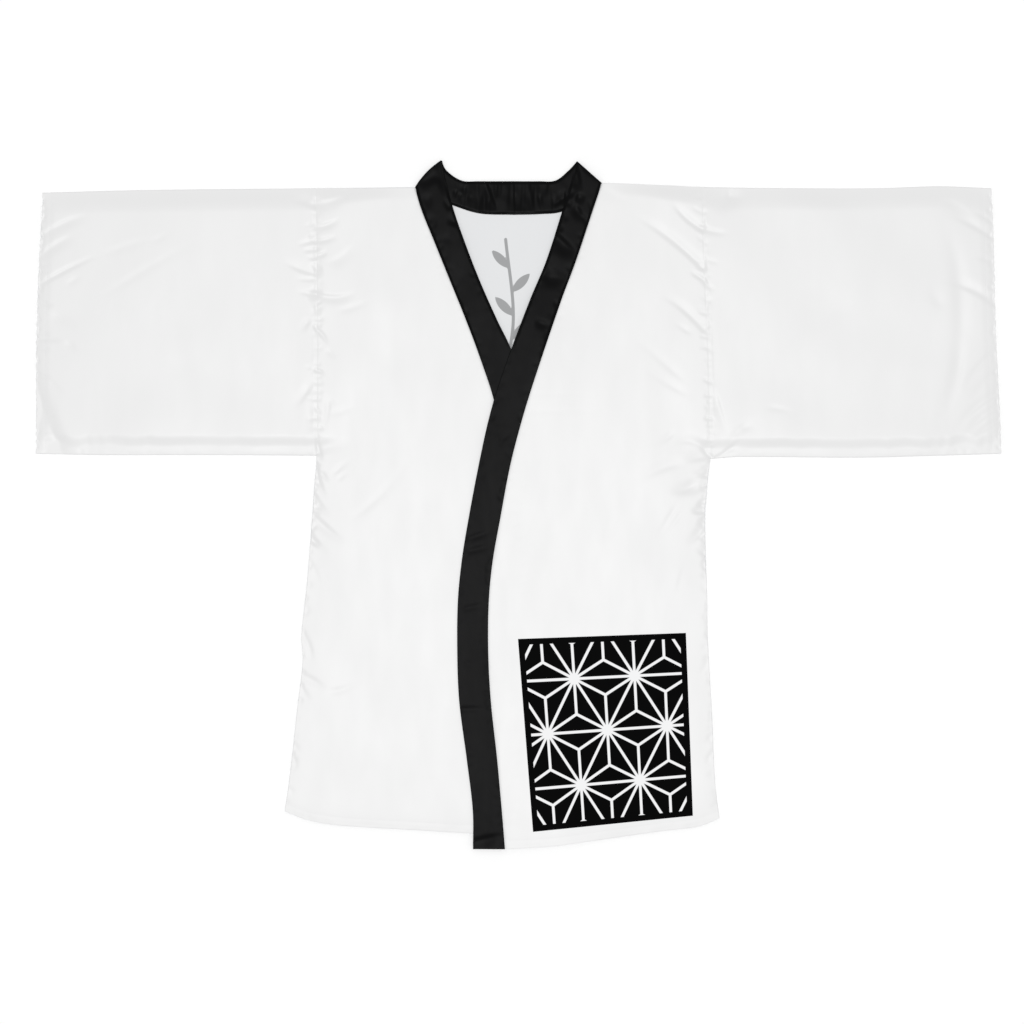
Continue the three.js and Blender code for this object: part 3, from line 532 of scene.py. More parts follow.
def shellPanel(name, top, bottom, materials, values=None):
    # a thin sheet between a top and a bottom grid, with four rims
    rows, columns = top.shape[:2]
    size = rows * columns
    up = np.arange(size).reshape(rows, columns)
    low = up + size
    rim = np.concatenate([rimQuads(up[0], low[0]), rimQuads(low[-1], up[-1]),
                          rimQuads(low[:, 0], up[:, 0]), rimQuads(up[:, -1], low[:, -1])])
    quads = [rim, gridQuads(rows, columns), gridQuads(rows, columns, size, flip=True)]
    kinds = [np.zeros(len(rim)), np.zeros(len(quads[1])), np.ones(len(quads[2]))]
    if values:
        values = {key: np.r_[np.ravel(value), np.ravel(value)] for key, value in values.items()}
    return makeMesh(name, [top, bottom], quads, materials, kinds, values, len(rim))


def shellTube(name, outer, inner, materials):
    # a thin tube between an outer and an inner grid of rings, with a rim at each end
    rows, columns = outer.shape[:2]
    size = rows * columns
    ring = np.r_[np.arange(columns), 0]
    last = (rows - 1) * columns
    rim = np.concatenate([rimQuads(ring, ring + size), rimQuads(ring + size + last, ring + last)])
    quads = [rim, gridQuads(rows, columns, ring=True), gridQuads(rows, columns, size, flip=True, ring=True)]
    kinds = [np.zeros(len(rim)), np.zeros(len(quads[1])), np.ones(len(quads[2]))]
    return makeMesh(name, [outer, inner], quads, materials, kinds, rim=len(rim))


# Materials
class Nodes:
    # short ways to wire a material's nodes
    def __init__(self, name):
        self.material = bpy.data.materials.new(name)
        self.material.use_nodes = True
        self.tree = self.material.node_tree
        self.shader = self.tree.nodes["Principled BSDF"]

    def add(self, kind, **settings):
        node = self.tree.nodes.new(kind)
        for key, value in settings.items():
            setattr(node, key, value)
        return node

    def feed(self, socket, value):
        if isinstance(value, tuple):
            socket.default_value = (*value, 1)
        elif isinstance(value, (int, float)):
            socket.default_value = value
        else:
            self.tree.links.new(value, socket)

    def math(self, operation, *inputs):
        node = self.add("ShaderNodeMath", operation=operation)
        for socket, value in zip(node.inputs, inputs):
            self.feed(socket, value)
        return node.outputs[0]

    def chain(self, operation, *values):
        # one operation over several values, two at a time
        total = values[0]
        for value in values[1:]:
            total = self.math(operation, total, value)
        return total

    def attribute(self, name):
        return self.add("ShaderNodeAttribute", attribute_name=name).outputs["Fac"]

    def ramp(self, fac, stops):
        node = self.add("ShaderNodeValToRGB")
        for element, (place, colour) in zip(node.color_ramp.elements, stops):
            element.position, element.color = place, (*colour, 1)
        self.feed(node.inputs[0], fac)
        return node.outputs[0]

    def mixColour(self, fac, a, b):
        node = self.add("ShaderNodeMix", data_type="RGBA")
        for index, value in ((0, fac), (6, a), (7, b)):
            self.feed(node.inputs[index], value)
        return node.outputs[2]

    def spread(self, value, low, high, start=0.0, end=1.0):
        node = self.add("ShaderNodeMapRange")
        for name, setting in (("From Min", start), ("From Max", end), ("To Min", low), ("To Max", high)):
            node.inputs[name].default_value = setting
        self.feed(node.inputs["Value"], value)
        return node.outputs[0]

    def noise(self, scale, stretch=(1, 1, 1), detail=3, turn=0):
        mapping = self.add("ShaderNodeMapping")
        mapping.inputs["Scale"].default_value = stretch
        mapping.inputs["Rotation"].default_value = (0, 0, turn)
        self.feed(mapping.inputs["Vector"], self.add("ShaderNodeTexCoord").outputs["Object"])
        node = self.add("ShaderNodeTexNoise")
        node.inputs["Scale"].default_value = scale
        node.inputs["Detail"].default_value = detail
        self.feed(node.inputs["Vector"], mapping.outputs[0])
        return node.outputs["Fac"]

    def bump(self, height, strength, distance, before=None):
        node = self.add("ShaderNodeBump")
        node.inputs["Strength"].default_value = strength
        node.inputs["Distance"].default_value = distance
        self.feed(node.inputs["Height"], height)
        if before is not None:
            self.feed(node.inputs["Normal"], before)
        return node.outputs[0]


def satin(name, look):
    # clouds of colour, soft crinkles and the fine floats of the weave
    nodes = Nodes(name)
    shader = nodes.shader
    base = np.array(look["colour"])
    nodes.colour = nodes.ramp(nodes.noise(9, detail=4), [(0.3, tuple(base * (1 - look["clouds"]))),
                                                         (0.7, tuple(base * (1 + look["clouds"])))])
    nodes.feed(shader.inputs["Base Color"], nodes.colour)
    sheets = nodes.noise(34, (1, 0.35, 1), 2, 0.5)
    nodes.feed(shader.inputs["Roughness"], nodes.spread(sheets, look["rough"] - 0.05, look["rough"] + 0.05))
    soft = nodes.bump(nodes.noise(58, (1, 0.4, 1), 3, 0.35), look["crinkle"], 0.0012)
    floats = nodes.bump(nodes.noise(2600, (1, 0.12, 1), 1), look["weave"], 0.00012, soft)
    nodes.feed(shader.inputs["Normal"], floats)
    shader.inputs["Specular IOR Level"].default_value = look["specular"]
    shader.inputs["Sheen Weight"].default_value = look["sheen"]
    shader.inputs["Sheen Roughness"].default_value = 0.45
    return nodes


whiteLook = {"colour": (0.759, 0.759, 0.759), "clouds": 0.006, "rough": 0.36, "specular": 0.3,
             "sheen": 0.02, "crinkle": 0.06, "weave": 0.1}
# the reverse face: duller, and its colour darker and cooler than the white partly as painted shade, for the
# inside of the back that shows in the neck's opening
reverseAndShadeLook = {"colour": (0.732, 0.74, 0.75), "clouds": 0.006, "rough": 0.5, "specular": 0.15,
               "sheen": 0.02, "crinkle": 0.06, "weave": 0.1}
blackLook = {"colour": (0.0042, 0.0042, 0.0044), "clouds": 0.12, "rough": 0.34, "specular": 0.026,
             "sheen": 0.0, "crinkle": 0.2, "weave": 0.12}
inkLook = {"colour": (0.0014, 0.0014, 0.0015), "clouds": 0.1, "rough": 0.4, "specular": 0.006,
           "sheen": 0.0, "crinkle": 0.08, "weave": 0.1}
threadLook = {"colour": (0.76, 0.762, 0.77), "clouds": 0.01, "rough": 0.5, "specular": 0.3,
              "sheen": 0.1, "crinkle": 0.1, "weave": 0.3}
whiteSatin = satin("whiteSatin", whiteLook)
satinReverseAndShade = satin("satinReverseAndShade", reverseAndShadeLook)
blackSatin = satin("blackSatin", blackLook)
whiteThread = satin("whiteThread", threadLook)
print("robe: materials made")


def groove(distance, depth, halfWidth):
    # a dent along a line of stitches or under the band
    return depth * np.exp(-((distance / halfWidth) ** 2))


# Fronts
def frontOf(side, name, inward, corners, height, flat, area):
    # which edges a front has; corners are the neck, the shoulder's end, and the hem's inner and outer end
    neck, shoulderEnd, hemInner, hemOuter = corners
    return {"name": name, "side": side + "Side", "armhole": side + "Armhole", "seam": side + "BandSeam",
            "hem": side + "Hem", "underarm": edges[side + "Side"][0], "neck": neck,
            "shoulderEnd": shoulderEnd, "hemInner": hemInner, "hemOuter": hemOuter,
            "inward": inward, "height": height, "flat": flat, "area": area}


rightFront = frontOf("right", "front_right", 1, (492, 491, -512, -476),
                     rightFrontUnderside, (0.378, 1.004), 0.292)
leftFront = frontOf("left", "front_left", -1, (499, 493, -534.5, -487),
                    leftFrontUnderside, (0.359, 1.033), 0.296)


def coons(inner, outer, lower, upper, u, v):
    # a panel's points from its four edges; inner and outer read v, lower and upper read u
    across, upward = np.meshgrid(u, v)
    left, right = inner(upward), outer(upward)
    down, up = lower(across), upper(across)
    zero, one = np.zeros(1), np.ones(1)
    a, b, c, d = inner(zero)[0], outer(zero)[0], inner(one)[0], outer(one)[0]
    across, upward = across[..., None], upward[..., None]
    return (left * (1 - across) + right * across + down * (1 - upward) + up * upward
            - (a * (1 - across) + b * across) * (1 - upward) - (c * (1 - across) + d * across) * upward)


def xyStack(x, y):
    return np.stack([x, y], -1)


def between(start, end, line):
    # an edge across the robe, moved a little so that it meets both corners
    def read(u):
        x = mix(start[0], end[0], u)
        lift = mix(start[1] - line(start[0]), end[1] - line(end[0]), u)
        return xyStack(x, line(x) + lift)
    return read


def makeFront(front):
    wide, long = 340, 1010
    inward = front["inward"]

    def outer(v):
        y = mix(front["hemOuter"], front["shoulderEnd"], v)
        below = y < front["underarm"][0]
        x = np.where(below, at[front["side"]](y), at[front["armhole"]](y))
        drawn = np.where(below, notches(y, puckersBy[front["side"]], 1), 0)
        return xyStack(x + inward * drawn, y)

    def inner(v):
        y = mix(front["hemInner"], front["neck"], v)
        return xyStack(at[front["seam"]](y) - inward * 0.1, y)

    one, zero = np.ones(1), np.zeros(1)
    lower = between(inner(zero)[0], outer(zero)[0], at[front["hem"]])
    upper = between(inner(one)[0], outer(one)[0], at["shoulder"])
    u = spaced((3, 1), (60, 3.6), (200, 4.6), (69, 2.5), (6, 1), (1, 0.5), (1, 0.25))
    v = spaced((1, 0.3), (31, 2.6), (350, 3.3), (610, 2.4), (16, 2), (1, 0.5), (1, 0.25))
    xy = coons(inner, outer, lower, upper, u, v)
    x, y = xy[..., 0], xy[..., 1]
    top = front["height"](x, y) + cloth["wall"]
    fromSide, fromHem, fromTop = (1 - u[None, :]) * wide, v[:, None] * long, (1 - v[:, None]) * long
    belowArm = ease(front["underarm"][0] + 5, front["underarm"][0] - 5, y)
    top = top - groove(fromHem - cloth["hem"], *cloth["hemGroove"])
    top = top - seamDip(fromSide) * (1 - belowArm)
    drop = np.maximum((1 - rounded(fromSide, edgeRound)) * belowArm, 1 - rounded(fromTop, edgeRound))
    top = top - cloth["edgeDrop"] * drop - cloth["hemDrop"] * (1 - rounded(fromHem, 0.5))
    top = top - groove(u[None, :] * wide, cloth["seamDrop"], 2)
    shell = cloth["shell"] * mix(1, 1.5, ease(cloth["hem"] + 2, cloth["hem"] - 2, fromHem))
    bottom = top - shell * (1 - 0.6 * drop)
    grids = [np.dstack([x, y, top]), np.dstack([x, y, bottom])]
    if inward > 0:
        grids = [grid[:, ::-1] for grid in grids]
    return shellPanel(front["name"], *grids, [whiteSatin.material, satinReverseAndShade.material])


def place(piece, slotName, replaced=None):
    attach(piece, "root")
    if replaced:
        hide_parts(replaced)
    return piece


for front in (rightFront, leftFront):
    place(makeFront(front), "white_satin", front["name"])
print("robe: fronts made")

# Sleeves
rightSleeve = {"name": "sleeve_right", "armhole": "rightArmhole", "cuff": "rightCuff",
               "under": "rightSleeveUnder", "flat": (0.83, 0.436), "area": 0.355}
leftSleeve = {"name": "sleeve_left", "armhole": "leftArmhole", "cuff": "leftCuff",
              "under": "leftSleeveUnder", "flat": (0.845, 0.464), "area": 0.374}


def makeSleeve(sleeve):
    long = 440
    # shares of the way from the armhole to the cuff
    out = spaced((2, 0.7), (6, 1), (44, 2.5), (300, 4.6), (76, 2.5), (10, 1.6), (1, 0.5), (1, 0.25))[:, None]
    upShares = spaced((1, 0.35), (36, 1.8), (340, 2.6), (36, 2.2), (1, 0.5), (1, 0.25))
    downShares = spaced((8, 3), (400, 14), (8, 3))[::-1]
    radius = cloth["wall"] + cloth["seamGap"] / 2
    turns = np.linspace(0, math.pi, 8)[1:-1]
    toCuff = np.sign(at[sleeve["cuff"]](300) - at[sleeve["armhole"]](300))

    def xAt(y):
        drawn = notches(y, puckersBy[sleeve["cuff"]], 1) * ease(0.8, 1, out)
        return mix(at[sleeve["armhole"]](y), at[sleeve["cuff"]](y) - toCuff * drawn, out)

    top = at["shoulder"](xAt(np.full((1, 1), 480.0))) - radius
    bottom = at[sleeve["under"]](xAt(np.full((1, 1), 80.0))) + radius
    fromArm, fromCuff = out * long, (1 - out) * long

    def ring(skin):
        skin = skin * mix(1, 1.5, ease(cloth["cuffHem"] + 2, cloth["cuffHem"] - 2, fromCuff))
        y = mix(bottom, top, upShares[None, :])
        x = xAt(y)
        z = sleeveUnderside(sleeve, x, y) + cloth["wall"] + seamRidge(fromArm)
        z = z - groove(fromCuff - cloth["cuffHem"], *cloth["cuffGroove"])
        z = z - cloth["cuffDrop"] * (1 - rounded(fromCuff, 1.2))
        parts = [np.dstack([x, y, z - skin])]
        for edgeY, edgeZ, way, order in ((top, z[:, -1:], 1, turns), (bottom, z[:, :1], -1, turns[::-1])):
            y = edgeY + way * (radius - skin) * np.sin(order)[None, :]
            turned = edgeZ / 2 + (edgeZ / 2 - skin) * np.cos(order)[None, :]
            parts.append(np.dstack([xAt(y), y, turned]))
            if way > 0:
                y = mix(bottom, top, downShares[None, :])
                parts.append(np.dstack([xAt(y), y, 0 * y + 0.02 + skin]))
        return np.concatenate(parts, 1)

    outer, inner = ring(0), ring(cloth["shell"])
    if toCuff > 0:
        outer, inner = outer[:, ::-1], inner[:, ::-1]
    return shellTube(sleeve["name"], outer, inner, [whiteSatin.material, satinReverseAndShade.material])


for sleeve in (rightSleeve, leftSleeve):
    place(makeSleeve(sleeve), "white_satin", sleeve["name"])
print("robe: sleeves made")

# Collar band
rightBand = {"name": "collar_right", "seam": "rightBandSeam", "free": "rightBandFree",
             "neckSeam": rightNeckSeam, "neckFree": rightNeckFree, "height": rightFrontUnderside,
             "bulge": 3.5, "seamSide": 1, "seed": 21, "flat": (0.1, 1.196)}
leftBand = {"name": "collar_left", "seam": "leftBandSeam", "free": "leftBandFree",
            "neckSeam": leftNeckSeam, "neckFree": leftNeckFree, "height": leftFrontUnderside,
            "bulge": 0.0, "seamSide": -1, "seed": 22, "flat": (0.1, 1.199)}
neckRipples = puckersAlong([(-100, 505), (70, 503)], -1, 11, 70, 0.4, 41, 0.08, lean=(1, 1.5))
neckRipples += puckersAlong([(-95, 460), (-60, 452), (33, 451), (64, 456)],
                            1, 12, 45, 0.35, 42, 0.1, lean=(1, 1.5))


def makeBand(band):
    wall, width = cloth["bandWall"], cloth["bandWide"]
    s = spaced((0.9, 0.3), (4.1, 1.1), (40, 2), (4.1, 1.1), (0.9, 0.3))
    foldSeam, foldFree = (np.array(max(edges[band[key]])[::-1], float) for key in ("seam", "free"))
    along = (foldFree - foldSeam) / np.linalg.norm(foldFree - foldSeam)
    outward = np.array([-along[1], along[0]])
    outward = outward * np.sign(outward[1])
    reach = foldRadius + wall / 2

    def foldPoint(shift=0.0):
        bulge = 4 * band["bulge"] * s * (1 - s)
        return mix(foldSeam, foldFree, s[:, None]) + outward * (bulge - reach + shift)[:, None]

    # up the front
    upFront = spaced((4, 1), (1022, 3), (4, 1))
    longEdges = []
    for name in (band["seam"], band["free"]):
        y = mix(min(edges[name])[0], max(edges[name])[0], upFront)
        longEdges.append(np.c_[at[name](y), y])
    seamXY, freeXY = longEdges
    plan = mix(seamXY[:, None, :], freeXY[:, None, :], s[None, :, None])
    plan = mix(plan, foldPoint()[None], ease(0.985, 1, upFront)[:, None, None])
    climb = bandLift * ease(bandClimb[0], bandClimb[1], upFront)[:, None]
    lies = np.maximum(band["height"](plan[..., 0], plan[..., 1]), climb)
    level = mix(lies, bandLift, ease(bandClimb[2], 1, upFront)[:, None])
    middle = [np.dstack([plan, level + wall / 2])]
    normals = [np.broadcast_to((0.0, 0, 1), middle[0].shape)]
    # over the shoulder
    for angle in np.linspace(0, math.pi, 12)[1:-1]:
        z = np.full(len(s), wall / 2 + foldRadius * (1 + math.cos(angle)))
        middle.append(np.c_[foldPoint(foldRadius * math.sin(angle)), z][None])
        normals.append(np.broadcast_to((*(outward * math.sin(angle)), math.cos(angle)), (1, len(s), 3)))
    # across the back of the neck
    aroundNeck = spaced((4, 1), (170, 2.4), (4, 1))
    neckEdges = [spline(band[key], aroundNeck)[:, None, :] for key in ("neckSeam", "neckFree")]
    neck = mix(*neckEdges, s[None, :, None])
    neck = mix(neck, foldPoint()[None], (1 - ease(0, 0.06, aroundNeck))[:, None, None])
    middle.append(np.dstack([neck, np.full(neck.shape[:2], wall / 2)]))
    normals.append(np.broadcast_to((0.0, 0, -1), middle[-1].shape))
    middle, normals = np.concatenate(middle), np.concatenate(normals)

    # creases, only on the face that shows, and softer towards both long edges
    x, y = middle[..., 0], middle[..., 1]
    onNeck = np.zeros(x.shape, bool)
    onNeck[-len(aroundNeck):] = True
    inFromEdge = np.minimum(s, 1 - s) * width
    side = band["seamSide"]
    ripples = puckersAlong(seamXY[::2], -side, 12, 14, 0.4, band["seed"], 0.7)
    ripples += puckersAlong(freeXY[::2], side, 15, 12, 0.35, band["seed"] + 5, 0.7)
    fine = np.where(onNeck, foldSum(x, y, neckRipples), foldSum(x, y, ripples))
    # the same list holds the neck's creases, which lie above y = 452 and up to 88 from its middle
    neckPlace = (y > 452) & (abs(x + 16) < 88)
    fine += np.where(onNeck == neckPlace, foldSum(x, y, bandCreases), 0)
    fine *= mix(0.35, 1, rounded(inFromEdge, 8))[None, :]
    waves = np.sin(x / 7.3 + 2 * np.sin(y / 19)) * np.sin(y / 6.1 + np.sin(x / 11))
    fine += mix(0.05, 0.14, onNeck) * waves * rounded(inFromEdge, 9)[None, :]
    half = (wall / 2 * np.maximum(0.08, rounded(inFromEdge, edgeRound)))[None, :, None]
    # the swell, and a limit on the creases, so that none goes through to the band's other side
    puff = np.r_[ease(0.7, 0.8, upFront), np.ones(len(middle) - len(upFront))]
    swell = cloth["bandSwell"] * puff[:, None] * ease(0, 5, inFromEdge)[None, :]
    room = np.maximum(0.05, 2 * half[..., 0] - cloth["bandShell"] - 0.1) + swell
    fine = swell + room * np.tanh(fine / room)
    upper, lower = middle + normals * half, middle - normals * half
    facing = normals[..., 2]
    upper[..., 2] += fine * np.maximum(facing, 0)
    lower[..., 2] += fine * np.maximum(-facing, 0)

    def ringOf(share):
        return np.concatenate([mix(upper, lower, share), mix(lower, upper, share)[:, ::-1]], 1)

    outer, inner = ringOf(0), ringOf(np.clip(cloth["bandShell"] / (2 * half), 0, 0.42))
    if side < 0:
        outer, inner = outer[:, ::-1], inner[:, ::-1]
    return shellTube(band["name"], outer, inner, [blackSatin.material, blackSatin.material])


for band in (rightBand, leftBand):
    place(makeBand(band), "black_satin", band["name"])
print("robe: collar band made")

# Back, with a printed sprig that shows grey on the reverse
sprig = {
    "stem": [(-26, -80), (-12, 60), (-22, 180), (-8, 290), (-20, 412)],
    "stemWide": 2.4,
    "from": -40,
    "step": 37,
    "leaves": 12,
    "leafLong": 50,
    "leafWide": 16,
    "lean": 44,  # degrees off the stem
    "grey": (0.335, 0.34, 0.345),
}


def sprigDistance(x, y):
    # how far outside the leaves and the stem a point lies, below zero inside them
    stem = spline(sprig["stem"], np.linspace(0, 1, 60))
    found = np.full(x.shape, 1e3)
    for (x1, y1), (x2, y2) in zip(stem[:-1], stem[1:]):
        dx, dy = x2 - x1, y2 - y1
        t = np.clip(((x - x1) * dx + (y - y1) * dy) / (dx * dx + dy * dy), 0, 1)
        found = np.minimum(found, np.hypot(x - x1 - t * dx, y - y1 - t * dy) - sprig["stemWide"])
    for i in range(sprig["leaves"]):
        footY = sprig["from"] + sprig["step"] * i
        footX = np.interp(footY, stem[:, 1], stem[:, 0])
        long, wide = sprig["leafLong"] * (1 - 0.02 * i), sprig["leafWide"] * (1 - 0.015 * i)
        a = math.radians(90 + sprig["lean"] * (1 if i % 2 else -1))
        p = (x - footX) * math.cos(a) + (y - footY) * math.sin(a) - long / 2
        q = abs(-(x - footX) * math.sin(a) + (y - footY) * math.cos(a))
        big = (long**2 + wide**2) / (4 * wide)  # the radius of a leaf's two arcs
        arc = np.hypot(p, q + big - wide / 2) - big
        tip = np.hypot(abs(p) - long / 2, q)
        found = np.minimum(found, np.where(abs(p) < long / 2, arc, np.maximum(arc, tip)))
    return found


def printed(name, look, ink):
    nodes = satin(name, look)
    share = nodes.spread(nodes.attribute("sprig"), 0.0, 1.0, 0.35, -0.35)
    nodes.feed(nodes.shader.inputs["Base Color"], nodes.mixColour(share, nodes.colour, ink))
    return nodes


def sideOfBack(side, v, shift):
    sideRows, armRows = edges[side + "Side"], edges[side + "Armhole"]
    y = mix(sideRows[-1][0], armRows[0][0], v)
    return xyStack(np.where(y < sideRows[0][0], at[side + "Side"](y), at[side + "Armhole"](y)) + shift, y)


def makeBack():
    wide, long = 606, 973

    def outer(v):
        return sideOfBack("left", v, -0.05)

    def inner(v):
        return sideOfBack("right", v, 0.05)

    neckLine = np.vstack([spline(rightNeckSeam, np.linspace(0, 1, 40)),
                          spline(leftNeckSeam, np.linspace(0, 1, 40))])
    neckLine = neckLine[np.argsort(neckLine[:, 0])]

    def topLine(x):
        inNeck = (x > neckLine[0, 0]) & (x < neckLine[-1, 0])
        return np.where(inNeck, np.interp(x, neckLine[:, 0], neckLine[:, 1]) - 0.35, at["shoulder"](x))

    zero, one = np.zeros(1), np.ones(1)
    lower = between(inner(zero)[0], outer(zero)[0], at["backHem"])
    upper = between(inner(one)[0], outer(one)[0], topLine)
    u = spaced((2, 1), (200, 10), (45, 3.5), (120, 2), (50, 3.5), (187, 10), (2, 1))
    v = spaced((2, 1), (540, 10), (165, 5), (180, 2.2), (84, 4), (2, 1))
    xy = coons(inner, outer, lower, upper, u, v)
    x, y = xy[..., 0], xy[..., 1]
    across, upward = np.meshgrid(u, v)
    fromEdge = np.minimum(np.minimum(across, 1 - across) * wide, np.minimum(upward, 1 - upward) * long)
    dips = foldSum(x, y, [(-30, 430, -5, 330, 4, 9, 1, 0.25, 0), (48, 440, 30, 360, -3, 8, 1, 0.25, 0)])
    soft = np.clip(gentleWaves(x, y) * 0.25 + dips, -0.2, 0.2)
    top = cloth["backTop"] + soft * rounded(fromEdge, 20)
    bottom = cloth["backBottom"] + 0.3 * (1 - rounded(fromEdge, 1.6))
    # the back's top face is the reverse, its colour darkened partly as painted shade
    reverse = printed("sprigReverseAndShade", reverseAndShadeLook, sprig["grey"]).material
    outside = printed("sprigOutside", whiteLook, inkLook["colour"]).material
    return shellPanel("back_panel", np.dstack([x, y, top]), np.dstack([x, y, bottom]), [reverse, outside],
                      {"sprig": sprigDistance(x, y)})


place(makeBack(), "white_satin", "back_panel")
print("robe: back made")

# Printed square: a hemp-leaf lattice in white on black, laid on the left front
square = {
    "corners": [(-0.8, -208.5), (259.6, -199.2), (270.5, -482.8), (22.5, -507.6)],  # from the top left round
    "wide": 258,
    "tall": 290,
    "cells": 2.75,  # triangles across
    "line": 4.2,
    "margin": 9,  # plain black all round
    "above": 0.15,  # over the cloth
    "step": 3,
    "soft": 0.2,  # half the width over which a line fades out
    "white": (0.86, 0.862, 0.868),
}


def latticeInk():
    nodes = satin("latticeInk", inkLook)
    edge = square["wide"] / square["cells"]
    height = edge * math.sqrt(3) / 2
    u = nodes.math("SUBTRACT", nodes.attribute("printAcross"), square["wide"] / 2)
    v = nodes.math("SUBTRACT", nodes.attribute("printUp"), square["tall"] / 2)
    parts = []
    for k in range(3):
        angle = math.radians(90 + 120 * k)
        along = nodes.math("MULTIPLY", u, math.cos(angle) / height)
        upward = nodes.math("MULTIPLY", v, math.sin(angle) / height)
        parts.append(nodes.math("FRACT", nodes.chain("ADD", along, upward, 40)))  # 40 keeps it above zero
    total = nodes.chain("ADD", *parts)
    down = nodes.math("GREATER_THAN", total, 1.5)
    shares = [nodes.math("ABSOLUTE", nodes.math("SUBTRACT", down, part)) for part in parts]
    least, most = nodes.chain("MINIMUM", *shares), nodes.chain("MAXIMUM", *shares)
    toEdge = nodes.math("MULTIPLY", least, height)
    middle = nodes.chain("SUBTRACT", 1, most, nodes.math("MULTIPLY", least, 2))
    toSpoke = nodes.math("MULTIPLY", middle, height / math.sqrt(3))
    nearest = nodes.math("MINIMUM", toEdge, toSpoke)
    half, soft = square["line"] / 2, square["soft"]
    lines = nodes.spread(nearest, 0.0, 1.0, half + soft, half - soft)
    for name, size in (("printAcross", square["wide"]), ("printUp", square["tall"])):
        fromMiddle = nodes.math("ABSOLUTE", nodes.math("SUBTRACT", nodes.attribute(name), size / 2))
        within = size / 2 - square["margin"]
        inside = nodes.spread(fromMiddle, 0.0, 1.0, within + soft, within - soft)
        lines = nodes.math("MINIMUM", lines, inside)
    nodes.feed(nodes.shader.inputs["Base Color"], nodes.mixColour(lines, nodes.colour, square["white"]))
    return nodes.material


def makeSquare():
    topLeft, topRight, lowRight, lowLeft = np.array(square["corners"])
    s = np.linspace(0, 1, round(square["wide"] / square["step"]))[None, :, None]
    t = np.linspace(0, 1, round(square["tall"] / square["step"]))[:, None, None]
    xy = mix(mix(lowLeft, lowRight, s), mix(topLeft, topRight, s), t)
    x, y = xy[..., 0], xy[..., 1]
    bottom = leftFrontUnderside(x, y) + cloth["wall"] + square["above"]
    top = bottom + 0.1
    wide, tall = s[..., 0] * square["wide"] + 0 * x, t[..., 0] * square["tall"] + 0 * x
    ink = latticeInk()
    return shellPanel("print_square", np.dstack([x, y, top]), np.dstack([x, y, bottom]), [ink, ink],
                      {"printAcross": wide, "printUp": tall})


printSquare = place(makeSquare(), "black_satin")
print("robe: printed square made")


# Stitches
def stitches(name, lines, material, slotName, long=2.6, pitch=3.8, radius=0.32):
    # one small flattened barrel for each stitch, joined into one piece
    sides = 6
    angles = np.arange(sides) * 2 * math.pi / sides
    layers, quads, count = [], [], 0
    for line in lines:
        runs = np.r_[0, np.cumsum(np.linalg.norm(np.diff(line, axis=0), axis=1))]
        for start in np.arange(pitch / 2, runs[-1] - long, pitch):
            cuts = start + long * np.array([0, 0.2, 0.8, 1])
            places = np.stack([np.interp(cuts, runs, line[:, k]) for k in range(3)], -1)
            way = (places[-1] - places[0]) / np.linalg.norm(places[-1] - places[0])
            side = np.cross((0, 0, 1), way)
            thick = np.array([0.25, 1, 1, 0.25])[:, None, None] * radius
            ring = np.cos(angles)[:, None] * side + np.sin(angles)[:, None] * np.array([0, 0, 0.6])
            barrel = places[:, None, :] + thick * ring[None]
            barrel[[0, -1], :, 2] -= 0.3 * radius
            layers.append(barrel)
            first, last = count + np.arange(sides), count + 3 * sides + np.arange(sides)
            quads.append(gridQuads(4, sides, count, ring=True))
            quads.append(np.array([first[[3, 2, 1, 0]], first[[5, 4, 3, 0]],
                                   last[[0, 1, 2, 3]], last[[0, 3, 4, 5]]]))
            count += 4 * sides
    return place(makeMesh(name, layers, quads, [material]), slotName)


def onFront(front, inFromHem):
    ends = [at[front["seam"]](front["hemInner"]), at[front["side"]](front["hemOuter"])]
    x = np.linspace(ends[0] - front["inward"] * 4, ends[1] + front["inward"] * 4, 200)
    y = at[front["hem"]](x) + inFromHem
    return np.c_[x, y, front["height"](x, y) + cloth["wall"] - 0.1]


def onCuff(sleeve, inFromCuff):
    y = np.linspace(84, 482, 240)
    toArm = np.sign(at[sleeve["armhole"]](y) - at[sleeve["cuff"]](y))
    x = at[sleeve["cuff"]](y) + toArm * inFromCuff
    return np.c_[x, y, sleeveUnderside(sleeve, x, y) + cloth["wall"] - 0.1]


for front in (rightFront, leftFront):
    name = front["name"] + "_stitches"
    stitches(name, [onFront(front, cloth["hem"])], whiteThread.material, "white_satin")
for sleeve in (rightSleeve, leftSleeve):
    name = sleeve["name"] + "_stitches"
    rows = [onCuff(sleeve, cloth["cuffHem"])]
    stitches(name, rows, whiteThread.material, "white_satin")
print("robe: stitches made")

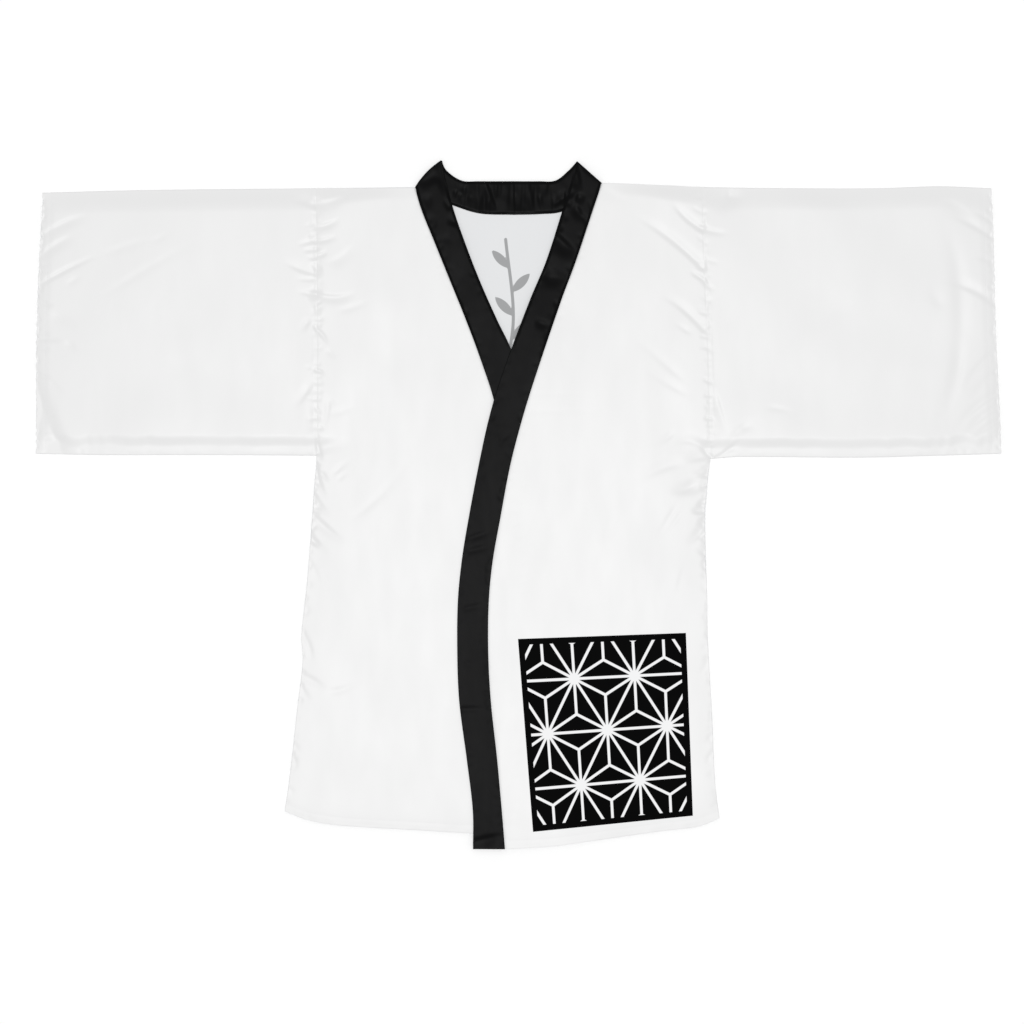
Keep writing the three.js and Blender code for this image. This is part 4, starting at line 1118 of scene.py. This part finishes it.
# Floor, light and camera
studio = {
    "middle": (-0.0101, -0.0116),  # what the picture is centred on
    "wide": 1.587,
    "lens": 78,
    "key": 1.76,  # strength of the large soft key, almost straight above
    "keyFrom": (0.0, -0.06, 1.0),
    "keySoft": 24,  # how wide it shows from the robe, degrees
    "ambient": 0.495,
    "floor": -0.0006,
    "floorReach": 6,
}
floorMesh = bpy.data.meshes.new("floor")
reach = studio["floorReach"]
floorCorners = [(reach * x, reach * y, studio["floor"]) for x, y in ((-1, -1), (1, -1), (1, 1), (-1, 1))]
floorMesh.from_pydata(floorCorners, [], [(0, 1, 2, 3)])
floor = bpy.data.objects.new("floor", floorMesh)
bpy.context.scene.collection.objects.link(floor)
paper = Nodes("floorPaper")
paper.shader.inputs["Base Color"].default_value = (0.96, 0.96, 0.96, 1)
paper.shader.inputs["Roughness"].default_value = 0.9
paper.shader.inputs["Specular IOR Level"].default_value = 0.1
floorMesh.materials.append(paper.material)

keyData = bpy.data.lights.new("keyLight", "SUN")
keyData.energy, keyData.angle = studio["key"], math.radians(studio["keySoft"])
keyLight = bpy.data.objects.new("keyLight", keyData)
keyX, keyY, keyZ = studio["keyFrom"]
keyLight.rotation_euler = (math.atan2(math.hypot(keyX, keyY), keyZ), 0, math.atan2(keyX, -keyY))
keyLight.location = [3 * side for side in studio["keyFrom"]]
bpy.context.scene.collection.objects.link(keyLight)
world = bpy.data.worlds.new("studio")
world.use_nodes = True
world.node_tree.nodes["Background"].inputs["Color"].default_value = (1, 1, 1, 1)
world.node_tree.nodes["Background"].inputs["Strength"].default_value = studio["ambient"]
bpy.context.scene.world = world
bpy.context.scene.view_settings.view_transform = "Standard"

cameraData = bpy.data.cameras.new("camera")
cameraData.lens, cameraData.sensor_width, cameraData.clip_end = studio["lens"], 36, 50
camera = bpy.data.objects.new("camera", cameraData)
camera.location = (*studio["middle"], studio["wide"] * studio["lens"] / 36 + 0.008)
bpy.context.scene.collection.objects.link(camera)
bpy.context.scene.camera = camera
print("robe: studio made")
